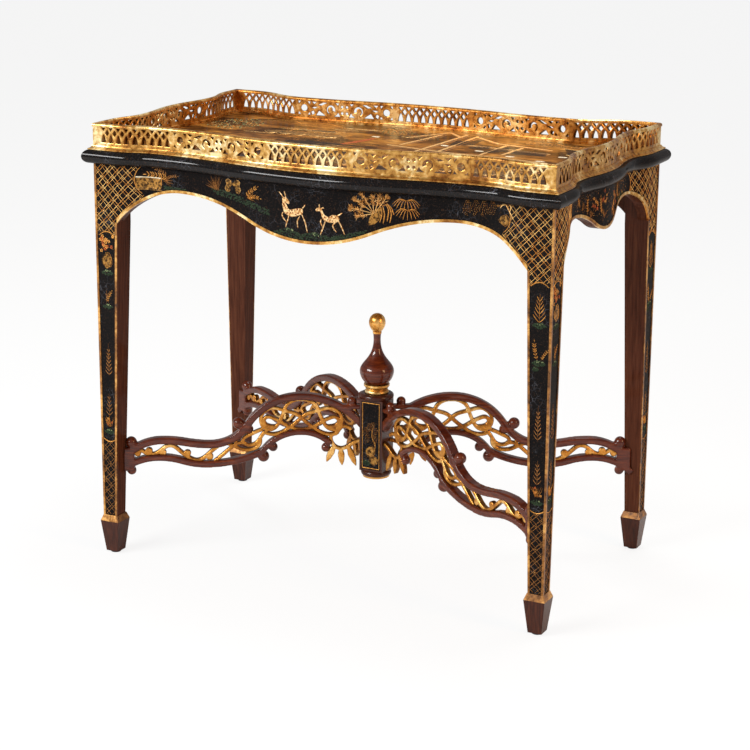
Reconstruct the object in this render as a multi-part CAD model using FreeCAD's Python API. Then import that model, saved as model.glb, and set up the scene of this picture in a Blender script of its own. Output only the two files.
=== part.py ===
import FreeCAD, Part
import os
from math import atan2, cos, degrees, hypot, pi, sin, sqrt
from FreeCAD import Vector

# A lacquered side table: a serpentine tray top with a pierced gilt gallery, four aprons,
# four tapered legs on spade feet, and four carved arms that meet at a post with a finial.
# Millimetres. X runs along the front, Y to the back, Z up. The origin is on the floor
# under the middle of the table.

# Whole table
frame_width = 777.0
frame_depth = 441.0
table_height = 711.0
overrun = 4.0
mitre_reach = 60.0

# Serpentine plan of each side, measured outwards from the line between two corners
front_bulge = 18.0
front_recess = -13.0
front_recess_inset = 108.5
back_bulge = -12.0
back_recess = -30.0
back_recess_inset = 148.5
side_bulge = -3.0
side_recess = -14.0
side_recess_inset = 115.5

# Tray board, edge moulding and cove moulding
board_thickness = 24.0
edge_height = 22.0
edge_outset = 14.0
edge_inset = 8.0
cove_height = 6.0
cove_outset = 6.6
cove_lip = 1.6

# Pierced gallery
gallery_height = 35.0
fret_thickness = 5.0
rail_height = 5.6
rail_proud = 1.2
fret_foot = 5.4
lancet_pitch = 13.6
lancet_width = 8.6
lancet_height = 13.0
diamond_width = 6.5
diamond_height = 8.6
top_notch_width = 7.0
top_notch_height = 3.6
lattice_gap = 2.2
eyelet_diameter = 11.0
eyelet_reach = 11.5
cusp_size = 4.2
scroll_length = 150.0
centre_lancets = 11
fret_end = 12.0
arch_waist_share = 0.82
arch_waist_height_share = 0.45
arch_neck_share = 0.45
arch_neck_height_share = 0.8
leaf_width_share = 0.42

# Legs, their gilt beads, spade feet and glides
leg_top_width = 40.0
leg_bottom_width = 25.3
leg_block_height = 96.0
lacquer_setback = 1.0
bead_width = 3.4
bead_proud = 1.2
foot_top_width = 34.2
foot_bottom_width = 22.1
foot_height = 53.0
foot_band_height = 10.0
foot_peg_diameter = 12.0
foot_peg_length = 24.0
glide_diameter = 16.0
glide_height = 3.0

# Aprons and their gilt beads
apron_thickness = 18.0
apron_bead_height = 4.6
apron_bead_depth = 2.0
front_spring_drop = 93.0
front_peak_drop = 37.0
front_centre_drop = 86.5
front_peak_inset = 113.0
side_spring_drop = 88.0
side_peak_drop = 35.0
side_centre_drop = 67.5
side_peak_inset = 73.0
front_turn_share = 0.44
side_turn_share = 0.4
tenon_thickness = 8.0
tenon_length = 19.0
tenon_margin = 9.0

# Corner blocks and the screws that hold the tray board
block_width = 70.0
block_height = 30.0
screw_diameter = 4.5
screw_head_diameter = 8.5
screw_head_height = 3.0
screw_length = 44.0
screw_setback = 7.0

# Stretcher arms
arm_thickness = 16.0
arm_rail = 11.0
arm_lower_rail = 10.0
arch_rail = 8.5
arch_top_height = 270.0
arch_post_drop = 52.5
neck_height = 188.0
hip_height = 195.0
arm_leg_drop = 32.0
lower_neck_height = 144.0
lower_hip_height = 155.5
lower_leg_drop = 24.0
cusp_height = 166.0
arch_under_height = 200.0
arch_inner_height = 181.0
arch_top_share = 0.3
arch_half_share = 0.162
arch_turn_share = 0.61
neck_share = 0.667
hip_share = 0.852
lower_neck_share = 0.684
lower_hip_share = 0.869
cusp_share = 0.452
arch_inner_share = 0.19
shelf_share = 0.15
shelf_dip = 4.3
shelf_thickness = 6.5
arm_end_block = 13.0
arm_root = 3.0
arm_housing = 9.0
arm_tenon_thickness = 7.0
arm_tenon_length = 15.0
arm_tenon_height = 22.0
post_tenon_length = 6.0
post_tenon_height = 9.0

# Balls on the arms: place along a rail as a share of the arm's reach, and offset from the rail's line
ball_radius = 9.4
small_ball_radius = 7.6
top_ball_share = 0.5357
top_ball_offset = 8.1
under_ball_share = 0.5324
under_ball_offset = -11.5
lower_ball_share = 0.4558
lower_ball_offset = -3.6
arch_ball_share = 0.4205
arch_ball_offset = -4.3
inner_ball_share = 0.191
inner_ball_offset = -6.3
leg_ball_share = 0.9719
leg_ball_offset = 6.2
leg_foot_ball_share = 0.9863
leg_foot_ball_offset = -5.0
post_ball_share = 0.0975
post_ball_lift = 5.5

# Gilt tracery in the arms
tracery_thickness = 8.0
strap_width = 4.6
vine_width = 5.0
bud_radius = 5.2
leaf_width = 10.0
strap_steps = 4

# Post, cap, base and finial
post_width = 41.0
post_bottom = 141.0
post_top_drop = 8.0
panel_width = 34.7
panel_recess = 1.6
panel_margin = 3.0
base_height = 12.0
base_rim_height = 2.6
base_diameter = 50.0
base_rim_diameter = 44.0
cap_diameter = 56.0
cap_height = 8.0
cap_bulge_share = 0.45
collar_height = 16.0
collar_flange_diameter = 42.0
collar_waist_diameter = 33.0
collar_ring_diameter = 39.0
collar_ring_share = 0.42
collar_flange_share = 0.2
finial_height = 84.0
bulb_diameter = 55.4
spigot_diameter = 14.0
spigot_length = 36.0
ball_height = 33.0
ball_diameter = 27.0
ball_ring_diameter = 14.4
ball_ring_height = 3.0
ball_peg_diameter = 6.0
ball_peg_length = 10.0

# Levels and half sizes that follow from the values above
half_width = frame_width / 2
half_depth = frame_depth / 2
gallery_z = table_height - gallery_height
cove_z = gallery_z - cove_height
frame_top = cove_z - edge_height
rail_z = table_height - rail_height
leg_block_z = frame_top - leg_block_height
foot_top = glide_height + foot_height
band_top = foot_top + foot_band_height
arch_post_height = arch_top_height - arch_post_drop
post_top = arch_top_height - post_top_drop
cap_top = post_top + cap_height
collar_top = cap_top + collar_height
up = Vector(0, 0, 1)


class Bend:
    """An arc in a flat plane. crown is +1 when its centre lies below it, -1 when above."""

    def __init__(self, centre, radius, start, end, crown):
        self.centre = centre
        self.radius = radius
        self.start = start
        self.end = end
        self.crown = crown

    def moved(self, point, offset):
        k = self.crown * offset / self.radius
        return (point[0] + (point[0] - self.centre[0]) * k, point[1] + (point[1] - self.centre[1]) * k)

    def middle(self):
        first = atan2(self.start[1] - self.centre[1], self.start[0] - self.centre[0])
        last = atan2(self.end[1] - self.centre[1], self.end[0] - self.centre[0])
        turn = (last - first + pi) % (2 * pi) - pi
        angle = first + turn / 2
        return (self.centre[0] + self.radius * cos(angle), self.centre[1] + self.radius * sin(angle))

    def rise_at(self, u):
        return self.crown * sqrt(self.radius ** 2 - (u - self.centre[0]) ** 2)

    def height_at(self, u):
        return self.centre[1] + self.rise_at(u)

    def slope_at(self, u):
        return -(u - self.centre[0]) / self.rise_at(u)

    def edge(self, offset, place, backwards=False):
        points = [place(*self.moved(p, offset)) for p in (self.start, self.middle(), self.end)]
        if backwards:
            points.reverse()
        return Part.Arc(*points).toShape()


class Level:
    """A straight run at one height."""

    def __init__(self, start, end):
        self.start = start
        self.end = end

    def moved(self, point, offset):
        return (point[0], point[1] + offset)

    def height_at(self, u):
        return self.start[1]

    def slope_at(self, u):
        return 0

    def edge(self, offset, place, backwards=False):
        points = [place(*self.moved(p, offset)) for p in (self.start, self.end)]
        if backwards:
            points.reverse()
        return Part.makeLine(*points)


def piece_at(path, u):
    """The piece of a path that runs over u."""
    for piece in path:
        if u <= piece.end[0]:
            break
    return piece


def s_curve(p, q, first_share=0.5):
    """Two tangent arcs from p to q, level at both ends; first_share of the radii is the first arc's."""
    run = q[0] - p[0]
    rise = q[1] - p[1]
    if rise == 0:
        return [Level(p, q)]
    turn = 2 * atan2(abs(rise), run)
    radii = run / sin(turn)
    first = first_share * radii
    second = radii - first
    way = 1 if rise > 0 else -1
    middle = (p[0] + first * sin(turn), p[1] + way * first * (1 - cos(turn)))
    return [Bend((p[0], p[1] + way * first), first, p, middle, -way),
            Bend((q[0], q[1] - way * second), second, middle, q, way)]


def haunch(level_point, end_point):
    """One arc that is level at level_point and falls to end_point."""
    run = end_point[0] - level_point[0]
    fall = level_point[1] - end_point[1]
    radius = (run ** 2 + fall ** 2) / (2 * fall)
    centre = (level_point[0], level_point[1] - radius)
    if run > 0:
        return Bend(centre, radius, level_point, end_point, 1)
    return Bend(centre, radius, end_point, level_point, 1)


def mirrored(path):
    """The same path for u from minus to plus, from its half that starts at u = 0."""
    flipped = []
    for piece in reversed(path):
        start = (-piece.end[0], piece.end[1])
        end = (-piece.start[0], piece.start[1])
        if isinstance(piece, Level):
            flipped.append(Level(start, end))
        else:
            flipped.append(Bend((-piece.centre[0], piece.centre[1]), piece.radius, start, end, piece.crown))
    return flipped + path


def strip_face(path, low, high, place):
    """The flat band between two offsets of a path."""
    edges = [piece.edge(low, place) for piece in path]
    first, last = path[0], path[-1]
    edges.append(Part.makeLine(place(*last.moved(last.end, low)), place(*last.moved(last.end, high))))
    edges += [piece.edge(high, place, True) for piece in reversed(path)]
    edges.append(Part.makeLine(place(*first.moved(first.start, high)), place(*first.moved(first.start, low))))
    return Part.Face(Part.Wire(edges))


def polygon_face(points):
    return Part.Face(Part.makePolygon(points + points[:1]))


def fused(shapes):
    return shapes[0].multiFuse(shapes[1:]).removeSplitter() if len(shapes) > 1 else shapes[0]


def turned(profile):
    """A solid of revolution about the Z axis from a closed (radius, height) wire's edges."""
    return Part.Face(Part.Wire(profile)).revolve(Vector(0, 0, 0), up, 360)


def rz_line(p, q):
    return Part.makeLine(Vector(p[0], 0, p[1]), Vector(q[0], 0, q[1]))


def rz_arc(p, m, q):
    return Part.Arc(Vector(p[0], 0, p[1]), Vector(m[0], 0, m[1]), Vector(q[0], 0, q[1])).toShape()


class Side:
    """One side of the table. u runs along it, v outwards from the line between its corners."""

    def __init__(self, name, angle, half_length, reach, bulge, recess, recess_inset):
        self.name = name
        self.outward = Vector(round(cos(angle)), round(sin(angle)), 0)
        self.along = Vector(-self.outward.y, self.outward.x, 0)
        self.half_length = half_length
        self.reach = reach
        flat_start = half_length - leg_top_width
        recess_place = half_length - recess_inset
        self.middle = mirrored(s_curve((0, bulge), (recess_place, recess))
                               + s_curve((recess_place, recess), (flat_start, 0)))
        self.flat_start = flat_start

    def place(self, z):
        return lambda u, v: self.outward * (self.reach + v) + self.along * u + up * z

    def path(self, extra=0.0):
        """The whole side from corner to corner, its flat ends lengthened by extra."""
        end = self.half_length + extra
        return ([Level((-end, 0), (-self.flat_start, 0))] + self.middle
                + [Level((self.flat_start, 0), (end, 0))])

    def frame_at(self, u):
        """The point of the side line at u and its outward and along directions."""
        piece = piece_at(self.path(), u)
        slope = piece.slope_at(u)
        size = hypot(1, slope)
        outward = (self.outward - self.along * slope) * (1 / size)
        along = (self.along + self.outward * slope) * (1 / size)
        return self.place(0)(u, piece.height_at(u)), outward, along

    def mitre(self, low, high):
        """The block between the two mitre planes of this side."""
        far = self.half_length + mitre_reach
        near = self.half_length - mitre_reach
        place = self.place(low)
        corners = [place(-far, mitre_reach), place(far, mitre_reach),
                   place(near, -mitre_reach), place(-near, -mitre_reach)]
        return polygon_face(corners).extrude(up * (high - low))

    def moulding(self, section, outset, low, high):
        """A moulding: its section carried along the side and mitred at both corners."""
        path = self.path(outset)
        start = self.place(0)(*path[0].start)
        spine = Part.Wire([piece.edge(0, self.place(0)) for piece in path])
        profile = Part.Wire(section(lambda v, z: start + self.outward * v + up * z))
        return spine.makePipeShell([profile], True, False).common(self.mitre(low - overrun, high + overrun))


front = Side("front", -pi / 2, half_width, half_depth, front_bulge, front_recess, front_recess_inset)
right = Side("right", 0, half_depth, half_width, side_bulge, side_recess, side_recess_inset)
back = Side("back", pi / 2, half_width, half_depth, back_bulge, back_recess, back_recess_inset)
left = Side("left", pi, half_depth, half_width, side_bulge, side_recess, side_recess_inset)
sides = [front, right, back, left]


def outline_face(offset, z):
    """The table's plan outline at an offset from its side lines."""
    edges = []
    for side in sides:
        edges += [piece.edge(offset, side.place(z)) for piece in side.path(offset)]
    return Part.Face(Part.Wire(edges))


def make_board():
    return outline_face(-edge_inset, frame_top).extrude(up * board_thickness)


def edge_section(place):
    """A bullnose: flat inner face, half-round outside."""
    radius = edge_height / 2
    nose = edge_outset - radius
    low, high = frame_top, frame_top + edge_height
    return [Part.makeLine(place(-edge_inset, high), place(-edge_inset, low)),
            Part.makeLine(place(-edge_inset, low), place(nose, low)),
            Part.Arc(place(nose, low), place(edge_outset, low + radius), place(nose, high)).toShape(),
            Part.makeLine(place(nose, high), place(-edge_inset, high))]


def cove_section(place):
    """A small hollow moulding between the bullnose and the gallery."""
    low, high = cove_z, gallery_z
    toe = low + cove_lip
    hollow = Part.Arc(place(cove_outset, toe), place(cove_outset / 2, (low + high) / 2), place(rail_proud, high))
    return [Part.makeLine(place(-edge_inset, high), place(-edge_inset, low)),
            Part.makeLine(place(-edge_inset, low), place(cove_outset, low)),
            Part.makeLine(place(cove_outset, low), place(cove_outset, toe)),
            hollow.toShape(),
            Part.makeLine(place(rail_proud, high), place(-edge_inset, high))]


def rail_section(place):
    """The gallery's top rail: a flat underside and a round top."""
    out = rail_proud
    back_edge = -fret_thickness - rail_proud
    shoulder = rail_z + rail_height / 2
    crest = Part.Arc(place(out, shoulder), place(-fret_thickness / 2, table_height), place(back_edge, shoulder))
    return [Part.makeLine(place(back_edge, rail_z), place(out, rail_z)),
            Part.makeLine(place(out, rail_z), place(out, shoulder)),
            crest.toShape(),
            Part.makeLine(place(back_edge, shoulder), place(back_edge, rail_z))]


def arch_points(width, height):
    """A pointed opening: a flat foot and two sides that lean in and bow to a point."""
    half = width / 2
    waist = (half * arch_waist_share, height * arch_waist_height_share)
    neck = (half * arch_neck_share, height * arch_neck_height_share)
    return [(-half, 0), (half, 0), waist, neck, (0, height), (-neck[0], neck[1]), (-waist[0], waist[1])]


def diamond_points(width, height):
    return [(width / 2, 0), (0, height / 2), (-width / 2, 0), (0, -height / 2)]


def leaf_points(length, width, lean):
    """A leaf-shaped opening along a line that leans from level."""
    outline = [(-length / 2, 0), (0, -width / 2), (length / 2, 0), (0, width / 2)]
    return [(x * cos(lean) - y * sin(lean), x * sin(lean) + y * cos(lean)) for x, y in outline]


fret_low = gallery_z + fret_foot
fret_mid = (fret_low + rail_z) / 2


def lattice_openings(first, count):
    """Openings of a lattice run: lancets below, diamonds between them, notches under the rail."""
    openings = []
    diamond_z = fret_low + lancet_height + lattice_gap
    for i in range(count):
        u = first + i * lancet_pitch
        openings.append((u, fret_low, arch_points(lancet_width, lancet_height)))
        openings.append((u, rail_z, [(-top_notch_width / 2, 0), (0, -top_notch_height), (top_notch_width / 2, 0)]))
        if i:
            openings.append((u - lancet_pitch / 2, diamond_z, diamond_points(diamond_width, diamond_height)))
    return openings


def eyelet_openings(u):
    """A round eyelet with four cusps; the circle is cut as a cylinder, so only its centre is given."""
    openings = [(u, fret_mid, eyelet_diameter / 2)]
    for across in (-1, 1):
        for rise in (-1, 1):
            corner = [(0, 0), (-across * cusp_size, 0), (0, -rise * cusp_size)]
            openings.append((u + across * (eyelet_reach - cusp_size / 2),
                             fret_mid + rise * (rail_z - fret_mid), corner))
    return openings


# Scroll run openings: place along half the run, height over half the fret, size over half the fret
scroll_dot_shares = [(0.0, 0.66, 0.17), (0.0, -0.66, 0.17), (0.113, 0.0, 0.17)]
scroll_leaf_shares = [(0.13, -0.84, 0.6, 0.0), (0.14, 0.84, 0.6, 0.0), (0.22, 0.33, 0.75, 0.9),
                      (0.22, -0.33, 0.75, -0.9), (0.34, 0.0, 0.9, 1.57), (0.35, 0.8, 0.7, -0.4),
                      (0.35, -0.8, 0.7, 0.4), (0.5, 0.0, 0.7, 1.57), (0.56, 0.8, 0.9, 0.0),
                      (0.54, -0.8, 0.8, 0.0), (0.7, 0.42, 1.0, -0.5), (0.7, -0.42, 1.0, 0.5)]


def scroll_openings(middle):
    """A run of scrolls about a four-dot flower, the same on both sides of its middle."""
    half_run = scroll_length / 2
    half_tall = (rail_z - fret_low) / 2
    openings = []
    for along, rise, size in scroll_dot_shares:
        for way in ((1,) if along == 0 else (-1, 1)):
            openings.append((middle + way * along * half_run, fret_mid + rise * half_tall, size * half_tall))
    for along, rise, length, lean in scroll_leaf_shares:
        for way in (-1, 1):
            leaf = leaf_points(length * half_tall, length * half_tall * leaf_width_share, lean)
            openings.append((middle + way * along * half_run, fret_mid + rise * half_tall,
                             [(way * x, y) for x, y in leaf]))
    return openings


def side_openings(side):
    """All openings of one gallery panel, from its middle outwards."""
    openings = []
    if side.half_length >= scroll_length + eyelet_reach * 2 + centre_lancets * lancet_pitch / 2:
        run = centre_lancets * lancet_pitch / 2
        openings += lattice_openings(-run + lancet_pitch / 2, centre_lancets)
        inner = run + eyelet_reach
        outer = inner + scroll_length
        for way in (-1, 1):
            openings += eyelet_openings(way * inner)
            openings += scroll_openings(way * (inner + outer) / 2)
            openings += eyelet_openings(way * outer)
    else:
        outer = scroll_length / 2
        openings += scroll_openings(0)
        openings += eyelet_openings(-outer)
        openings += eyelet_openings(outer)
    first = outer + eyelet_reach + lancet_pitch / 2
    count = int((side.half_length - fret_end - first + lancet_pitch / 2) / lancet_pitch)
    if count > 0:
        openings += lattice_openings(first, count)
        openings += lattice_openings(-first - (count - 1) * lancet_pitch, count)
    return openings


def make_fret(side):
    """A gallery panel with its openings cut square to the curved wall."""
    path = side.path()
    wall = strip_face(path, -fret_thickness, 0, side.place(gallery_z)).extrude(up * (rail_z - gallery_z))
    wall = wall.common(side.mitre(gallery_z, rail_z))
    depth = fret_thickness + 2 * overrun
    cutters = []
    for u, z, shape in side_openings(side):
        point, outward, along = side.frame_at(u)
        start = point + outward * overrun + up * z
        if isinstance(shape, list):
            face = polygon_face([start + along * x + up * y for x, y in shape])
            cutters.append(face.extrude(outward * -depth))
        else:
            cutters.append(Part.makeCylinder(shape, depth, start, outward * -1))
    return wall.cut(cutters)


class ApronEdge:
    """The lower edge of an apron: a haunch at each leg, a hollow, and a drop in the middle."""

    def __init__(self, side, spring_drop, peak_drop, centre_drop, peak_inset, turn_share):
        self.side = side
        self.half_span = side.flat_start
        self.low = frame_top - spring_drop
        self.behind = back_recess - 2 * apron_thickness
        self.through = side.outward * (front_bulge + overrun - self.behind)
        peak = (self.half_span - peak_inset, frame_top - peak_drop)
        self.path = mirrored(s_curve((0, frame_top - centre_drop), peak, turn_share)
                             + [haunch(peak, (self.half_span, self.low))])

    def place(self, u, z):
        return self.side.place(z)(u, self.behind)

    def below(self):
        """Everything under the edge, from behind the apron to in front of it."""
        floor = self.low - overrun
        corners = [(self.half_span, self.low), (self.half_span, floor),
                   (-self.half_span, floor), (-self.half_span, self.low)]
        edges = [piece.edge(0, self.place) for piece in self.path]
        edges += Part.makePolygon([self.place(*corner) for corner in corners]).Edges
        return Part.Face(Part.Wire(edges)).extrude(self.through)

    def band(self, height):
        """A band of one height along the edge."""
        return strip_face(self.path, 0, height, self.place).extrude(self.through)


def apron_edge(side):
    if side in (front, back):
        return ApronEdge(side, front_spring_drop, front_peak_drop, front_centre_drop, front_peak_inset,
                         front_turn_share)
    return ApronEdge(side, side_spring_drop, side_peak_drop, side_centre_drop, side_peak_inset, side_turn_share)


def make_apron(side):
    """A curved board with a shaped lower edge, its tenons, and the gilt bead along that edge."""
    edge = apron_edge(side)
    tall = up * (frame_top - edge.low)
    place = side.place(edge.low)
    board = strip_face(side.middle, -lacquer_setback - apron_thickness, -lacquer_setback, place).extrude(tall)
    front_strip = strip_face(side.middle, -lacquer_setback - apron_bead_depth, bead_proud - lacquer_setback, place)
    bead = front_strip.extrude(tall).common(edge.band(apron_bead_height))
    board = board.cut([edge.below(), bead])
    return fused([board, make_tenon(side, -1), make_tenon(side, 1)]), bead


def make_tenon(side, way):
    """The tenon at one end of an apron."""
    edge = apron_edge(side)
    low = edge.low + tenon_margin
    high = frame_top - tenon_margin
    middle = -lacquer_setback - apron_thickness / 2
    place = side.place(low)
    start = way * edge.half_span
    end = start + way * tenon_length
    corners = [place(start, middle - tenon_thickness / 2), place(end, middle - tenon_thickness / 2),
               place(end, middle + tenon_thickness / 2), place(start, middle + tenon_thickness / 2)]
    return polygon_face(corners).extrude(up * (high - low))


def square(near, width, z):
    """A level square at the front right corner, near and width measured in from the frame's faces."""
    far = near + width
    return Part.makePolygon([Vector(half_width - a, -half_depth + b, z)
                             for a, b in ((near, near), (far, near), (far, far), (near, far), (near, near))])


foot_centre = (lacquer_setback + leg_bottom_width) / 2


def leg_far(z):
    """Distance from the frame's face to the leg's inner face at a height."""
    if z >= leg_block_z:
        return leg_top_width
    taper_share = (z - band_top) / (leg_block_z - band_top)
    return leg_bottom_width + (leg_top_width - leg_bottom_width) * taper_share


def foot_peg(length):
    """The peg between the front right leg and its foot, or the bore for it."""
    low = foot_top - foot_peg_length
    return Part.makeCylinder(foot_peg_diameter / 2, length,
                             Vector(half_width - foot_centre, -half_depth + foot_centre, low))


def make_leg():
    """The front right leg: block, taper on its inner faces, and a peg for the foot."""
    block = Part.Face(square(lacquer_setback, leg_top_width - lacquer_setback, leg_block_z))
    block = block.extrude(up * (frame_top - leg_block_z))
    taper = Part.makeLoft([square(lacquer_setback, leg_bottom_width - lacquer_setback, band_top),
                           square(lacquer_setback, leg_top_width - lacquer_setback, leg_block_z)], True, True)
    ankle = Part.Face(square(lacquer_setback, leg_bottom_width - lacquer_setback, foot_top))
    ankle = ankle.extrude(up * foot_band_height)
    return fused([block, taper, ankle, foot_peg(foot_peg_length)])


def make_leg_beads():
    """Gilt beads on the front right leg: two along the outer arris, one along each inner edge."""
    out = lacquer_setback - bead_proud
    corner = [(out, out), (bead_width, out), (bead_width, lacquer_setback), (lacquer_setback, lacquer_setback),
              (lacquer_setback, bead_width), (out, bead_width)]
    arris = polygon_face([Vector(half_width - a, -half_depth + b, band_top) for a, b in corner])
    parts = [arris.extrude(up * (frame_top - band_top))]
    for on_front, top in ((True, frame_top - front_spring_drop), (False, frame_top - side_spring_drop)):
        outline = [(leg_bottom_width, band_top), (leg_top_width, leg_block_z), (leg_top_width, top),
                   (leg_top_width - bead_width, top), (leg_top_width - bead_width, leg_block_z),
                   (leg_bottom_width - bead_width, band_top)]
        if on_front:
            points = [Vector(half_width - a, -half_depth + lacquer_setback, z) for a, z in outline]
            parts.append(polygon_face(points).extrude(Vector(0, -bead_proud, 0)))
        else:
            points = [Vector(half_width - lacquer_setback, -half_depth + a, z) for a, z in outline]
            parts.append(polygon_face(points).extrude(Vector(bead_proud, 0, 0)))
    return Part.makeCompound(parts)


def make_foot():
    """A spade foot under the front right leg, bored for the leg's peg."""
    top = square(foot_centre - foot_top_width / 2, foot_top_width, foot_top)
    bottom = square(foot_centre - foot_bottom_width / 2, foot_bottom_width, glide_height)
    return Part.makeLoft([bottom, top], True, True).cut(foot_peg(foot_peg_length + overrun))


def make_foot_band():
    """The gilt band that slopes from the foot up to the leg."""
    low = square(foot_centre - foot_top_width / 2, foot_top_width, foot_top)
    near = lacquer_setback - bead_proud
    high = square(near, 2 * (foot_centre - near), band_top)
    band = Part.makeLoft([low, high], True, True)
    hole = Part.Face(square(lacquer_setback, leg_bottom_width - lacquer_setback, foot_top - overrun))
    return band.cut(hole.extrude(up * (foot_band_height + 2 * overrun)))


def make_glide():
    return Part.makeCylinder(glide_diameter / 2, glide_height,
                             Vector(half_width - foot_centre, -half_depth + foot_centre, 0))


def at_corners(shape):
    """Copies of a front right shape at the four corners, by name."""
    across = shape.mirror(Vector(0, 0, 0), Vector(1, 0, 0))
    return {"front_right": shape,
            "front_left": across,
            "back_right": shape.mirror(Vector(0, 0, 0), Vector(0, 1, 0)),
            "back_left": across.mirror(Vector(0, 0, 0), Vector(0, 1, 0))}


# The arms. Each is drawn in its own upright plane, s along it from the table's axis, z up.
arm_level = (neck_height + lower_neck_height) / 2
corner_x = half_width - leg_far(arm_level)
corner_y = half_depth - leg_far(arm_level)
arm_reach = hypot(corner_x, corner_y)
arm_angle = degrees(atan2(corner_y, corner_x))
arm_end = arm_reach + arm_housing


def in_arm(s, z):
    return Vector(s, 0, z)


def arm_slab(face, thickness):
    slab = face.extrude(Vector(0, thickness, 0))
    slab.translate(Vector(0, -thickness / 2, 0))
    return slab


def flat_union(faces):
    """Overlapping faces in the arm's plane joined into as few faces as they make."""
    plane = Part.Plane(Vector(0, 0, 0), Vector(0, 1, 0))
    flat = [Part.Face(plane, face.OuterWire) for face in faces]
    return Part.makeShell(flat[0].multiFuse(flat[1:]).Faces).removeSplitter()


def at_front_right(shape):
    placed = shape.copy()
    placed.rotate(Vector(0, 0, 0), up, -arm_angle)
    return placed


def ball_on(path, share, offset, radius):
    """A ball on a rail, its centre at an offset from the rail's line."""
    s = share * arm_reach
    piece = piece_at(path, s)
    return Part.makeSphere(radius, in_arm(*piece.moved((s, piece.height_at(s)), offset)))


def top_rail_path():
    top = (arch_top_share * arm_reach, arch_top_height)
    neck = (neck_share * arm_reach, neck_height)
    hip = (hip_share * arm_reach, hip_height)
    return ([haunch(top, (post_width / 2 - arm_root, arch_post_height))] + s_curve(top, neck, arch_turn_share)
            + s_curve(neck, hip) + [haunch(hip, (arm_end, hip_height - arm_leg_drop))])


def lower_rail_path():
    cusp = (cusp_share * arm_reach, cusp_height)
    neck = (lower_neck_share * arm_reach, lower_neck_height)
    hip = (lower_hip_share * arm_reach, lower_hip_height)
    run = neck[0] - cusp[0]
    fall = cusp[1] - neck[1]
    radius = (run ** 2 + fall ** 2) / (2 * fall)
    first = Bend((neck[0], neck[1] + radius), radius, cusp, neck, -1)
    return [first] + s_curve(neck, hip) + [haunch(hip, (arm_end, lower_hip_height - lower_leg_drop))]


def arch_rail_path():
    top = (arch_top_share * arm_reach, arch_under_height)
    return [haunch(top, (arch_inner_share * arm_reach, arch_inner_height)),
            haunch(top, (cusp_share * arm_reach, cusp_height))]


def make_arm():
    """The mahogany frame of one arm: three rails, a shelf at the post, the end block and the balls."""
    top, lower, arch = top_rail_path(), lower_rail_path(), arch_rail_path()
    block_start = arm_reach - arm_end_block
    block_top = neck_height - arm_rail
    block = polygon_face([in_arm(block_start, lower_neck_height), in_arm(arm_end, lower_neck_height),
                          in_arm(arm_end, block_top), in_arm(block_start, block_top)])
    shelf_start = post_width / 2 - arm_root
    shelf_end = shelf_share * arm_reach
    shelf_high = piece_at(top, shelf_end).height_at(shelf_end) - shelf_dip
    shelf_low = shelf_high - shelf_thickness
    shelf = polygon_face([in_arm(shelf_start, shelf_low), in_arm(shelf_end, shelf_low),
                          in_arm(shelf_end, shelf_high), in_arm(shelf_start, shelf_high)])
    flat = flat_union([strip_face(top, -arm_rail, 0, in_arm), strip_face(lower, 0, arm_lower_rail, in_arm),
                       strip_face(arch, 0, arch_rail, in_arm), block, shelf])
    post_ball = Part.makeSphere(small_ball_radius, in_arm(post_ball_share * arm_reach, shelf_high + post_ball_lift))
    return fused([arm_slab(flat, arm_thickness), post_ball,
                  ball_on(top, top_ball_share, top_ball_offset, ball_radius),
                  ball_on(top, under_ball_share, under_ball_offset, small_ball_radius),
                  ball_on(lower, lower_ball_share, lower_ball_offset, ball_radius),
                  ball_on(arch, arch_ball_share, arch_ball_offset, small_ball_radius),
                  ball_on(arch, inner_ball_share, inner_ball_offset, small_ball_radius),
                  ball_on(top, leg_ball_share, leg_ball_offset, ball_radius),
                  ball_on(lower, leg_foot_ball_share, leg_foot_ball_offset, small_ball_radius)])


def make_arm_tenons():
    """The arm's tenon in the leg and its tenon in the post."""
    half = arm_tenon_thickness / 2
    post_start = post_width / 2 - post_tenon_length
    leg_tenon = Part.makeBox(arm_root + arm_tenon_length, arm_tenon_thickness, arm_tenon_height,
                             Vector(arm_reach - arm_root, -half, arm_level - arm_tenon_height / 2))
    post_tenon = Part.makeBox(2 * post_tenon_length, arm_tenon_thickness, post_tenon_height,
                              Vector(post_start, -half, arch_post_height - post_tenon_height))
    return [at_front_right(leg_tenon), at_front_right(post_tenon)]


# Strap centre lines in the arch, used on both sides of its middle: across over its half width,
# up over its height
mirrored_strap_shares = [
    [(-0.05, 0.995), (0.18, 0.975), (0.37, 0.82), (0.44, 0.62), (0.52, 0.4), (0.61, 0.23), (0.73, 0.14),
     (0.87, 0.15), (0.97, 0.27), (1.0, 0.43), (0.94, 0.61), (0.82, 0.72)],
    [(0.88, 0.67), (0.7, 0.76), (0.49, 0.71), (0.31, 0.65), (0.14, 0.59), (0.0, 0.47), (-0.14, 0.325),
     (-0.29, 0.2), (-0.44, 0.08), (-0.6, 0.01), (-0.76, 0.0), (-0.89, 0.05)],
    [(-0.05, 0.15), (0.2, 0.18), (0.38, 0.27), (0.53, 0.375), (0.69, 0.46), (0.855, 0.49), (0.92, 0.4),
     (0.885, 0.29), (0.76, 0.23), (0.64, 0.22)],
]
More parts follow.
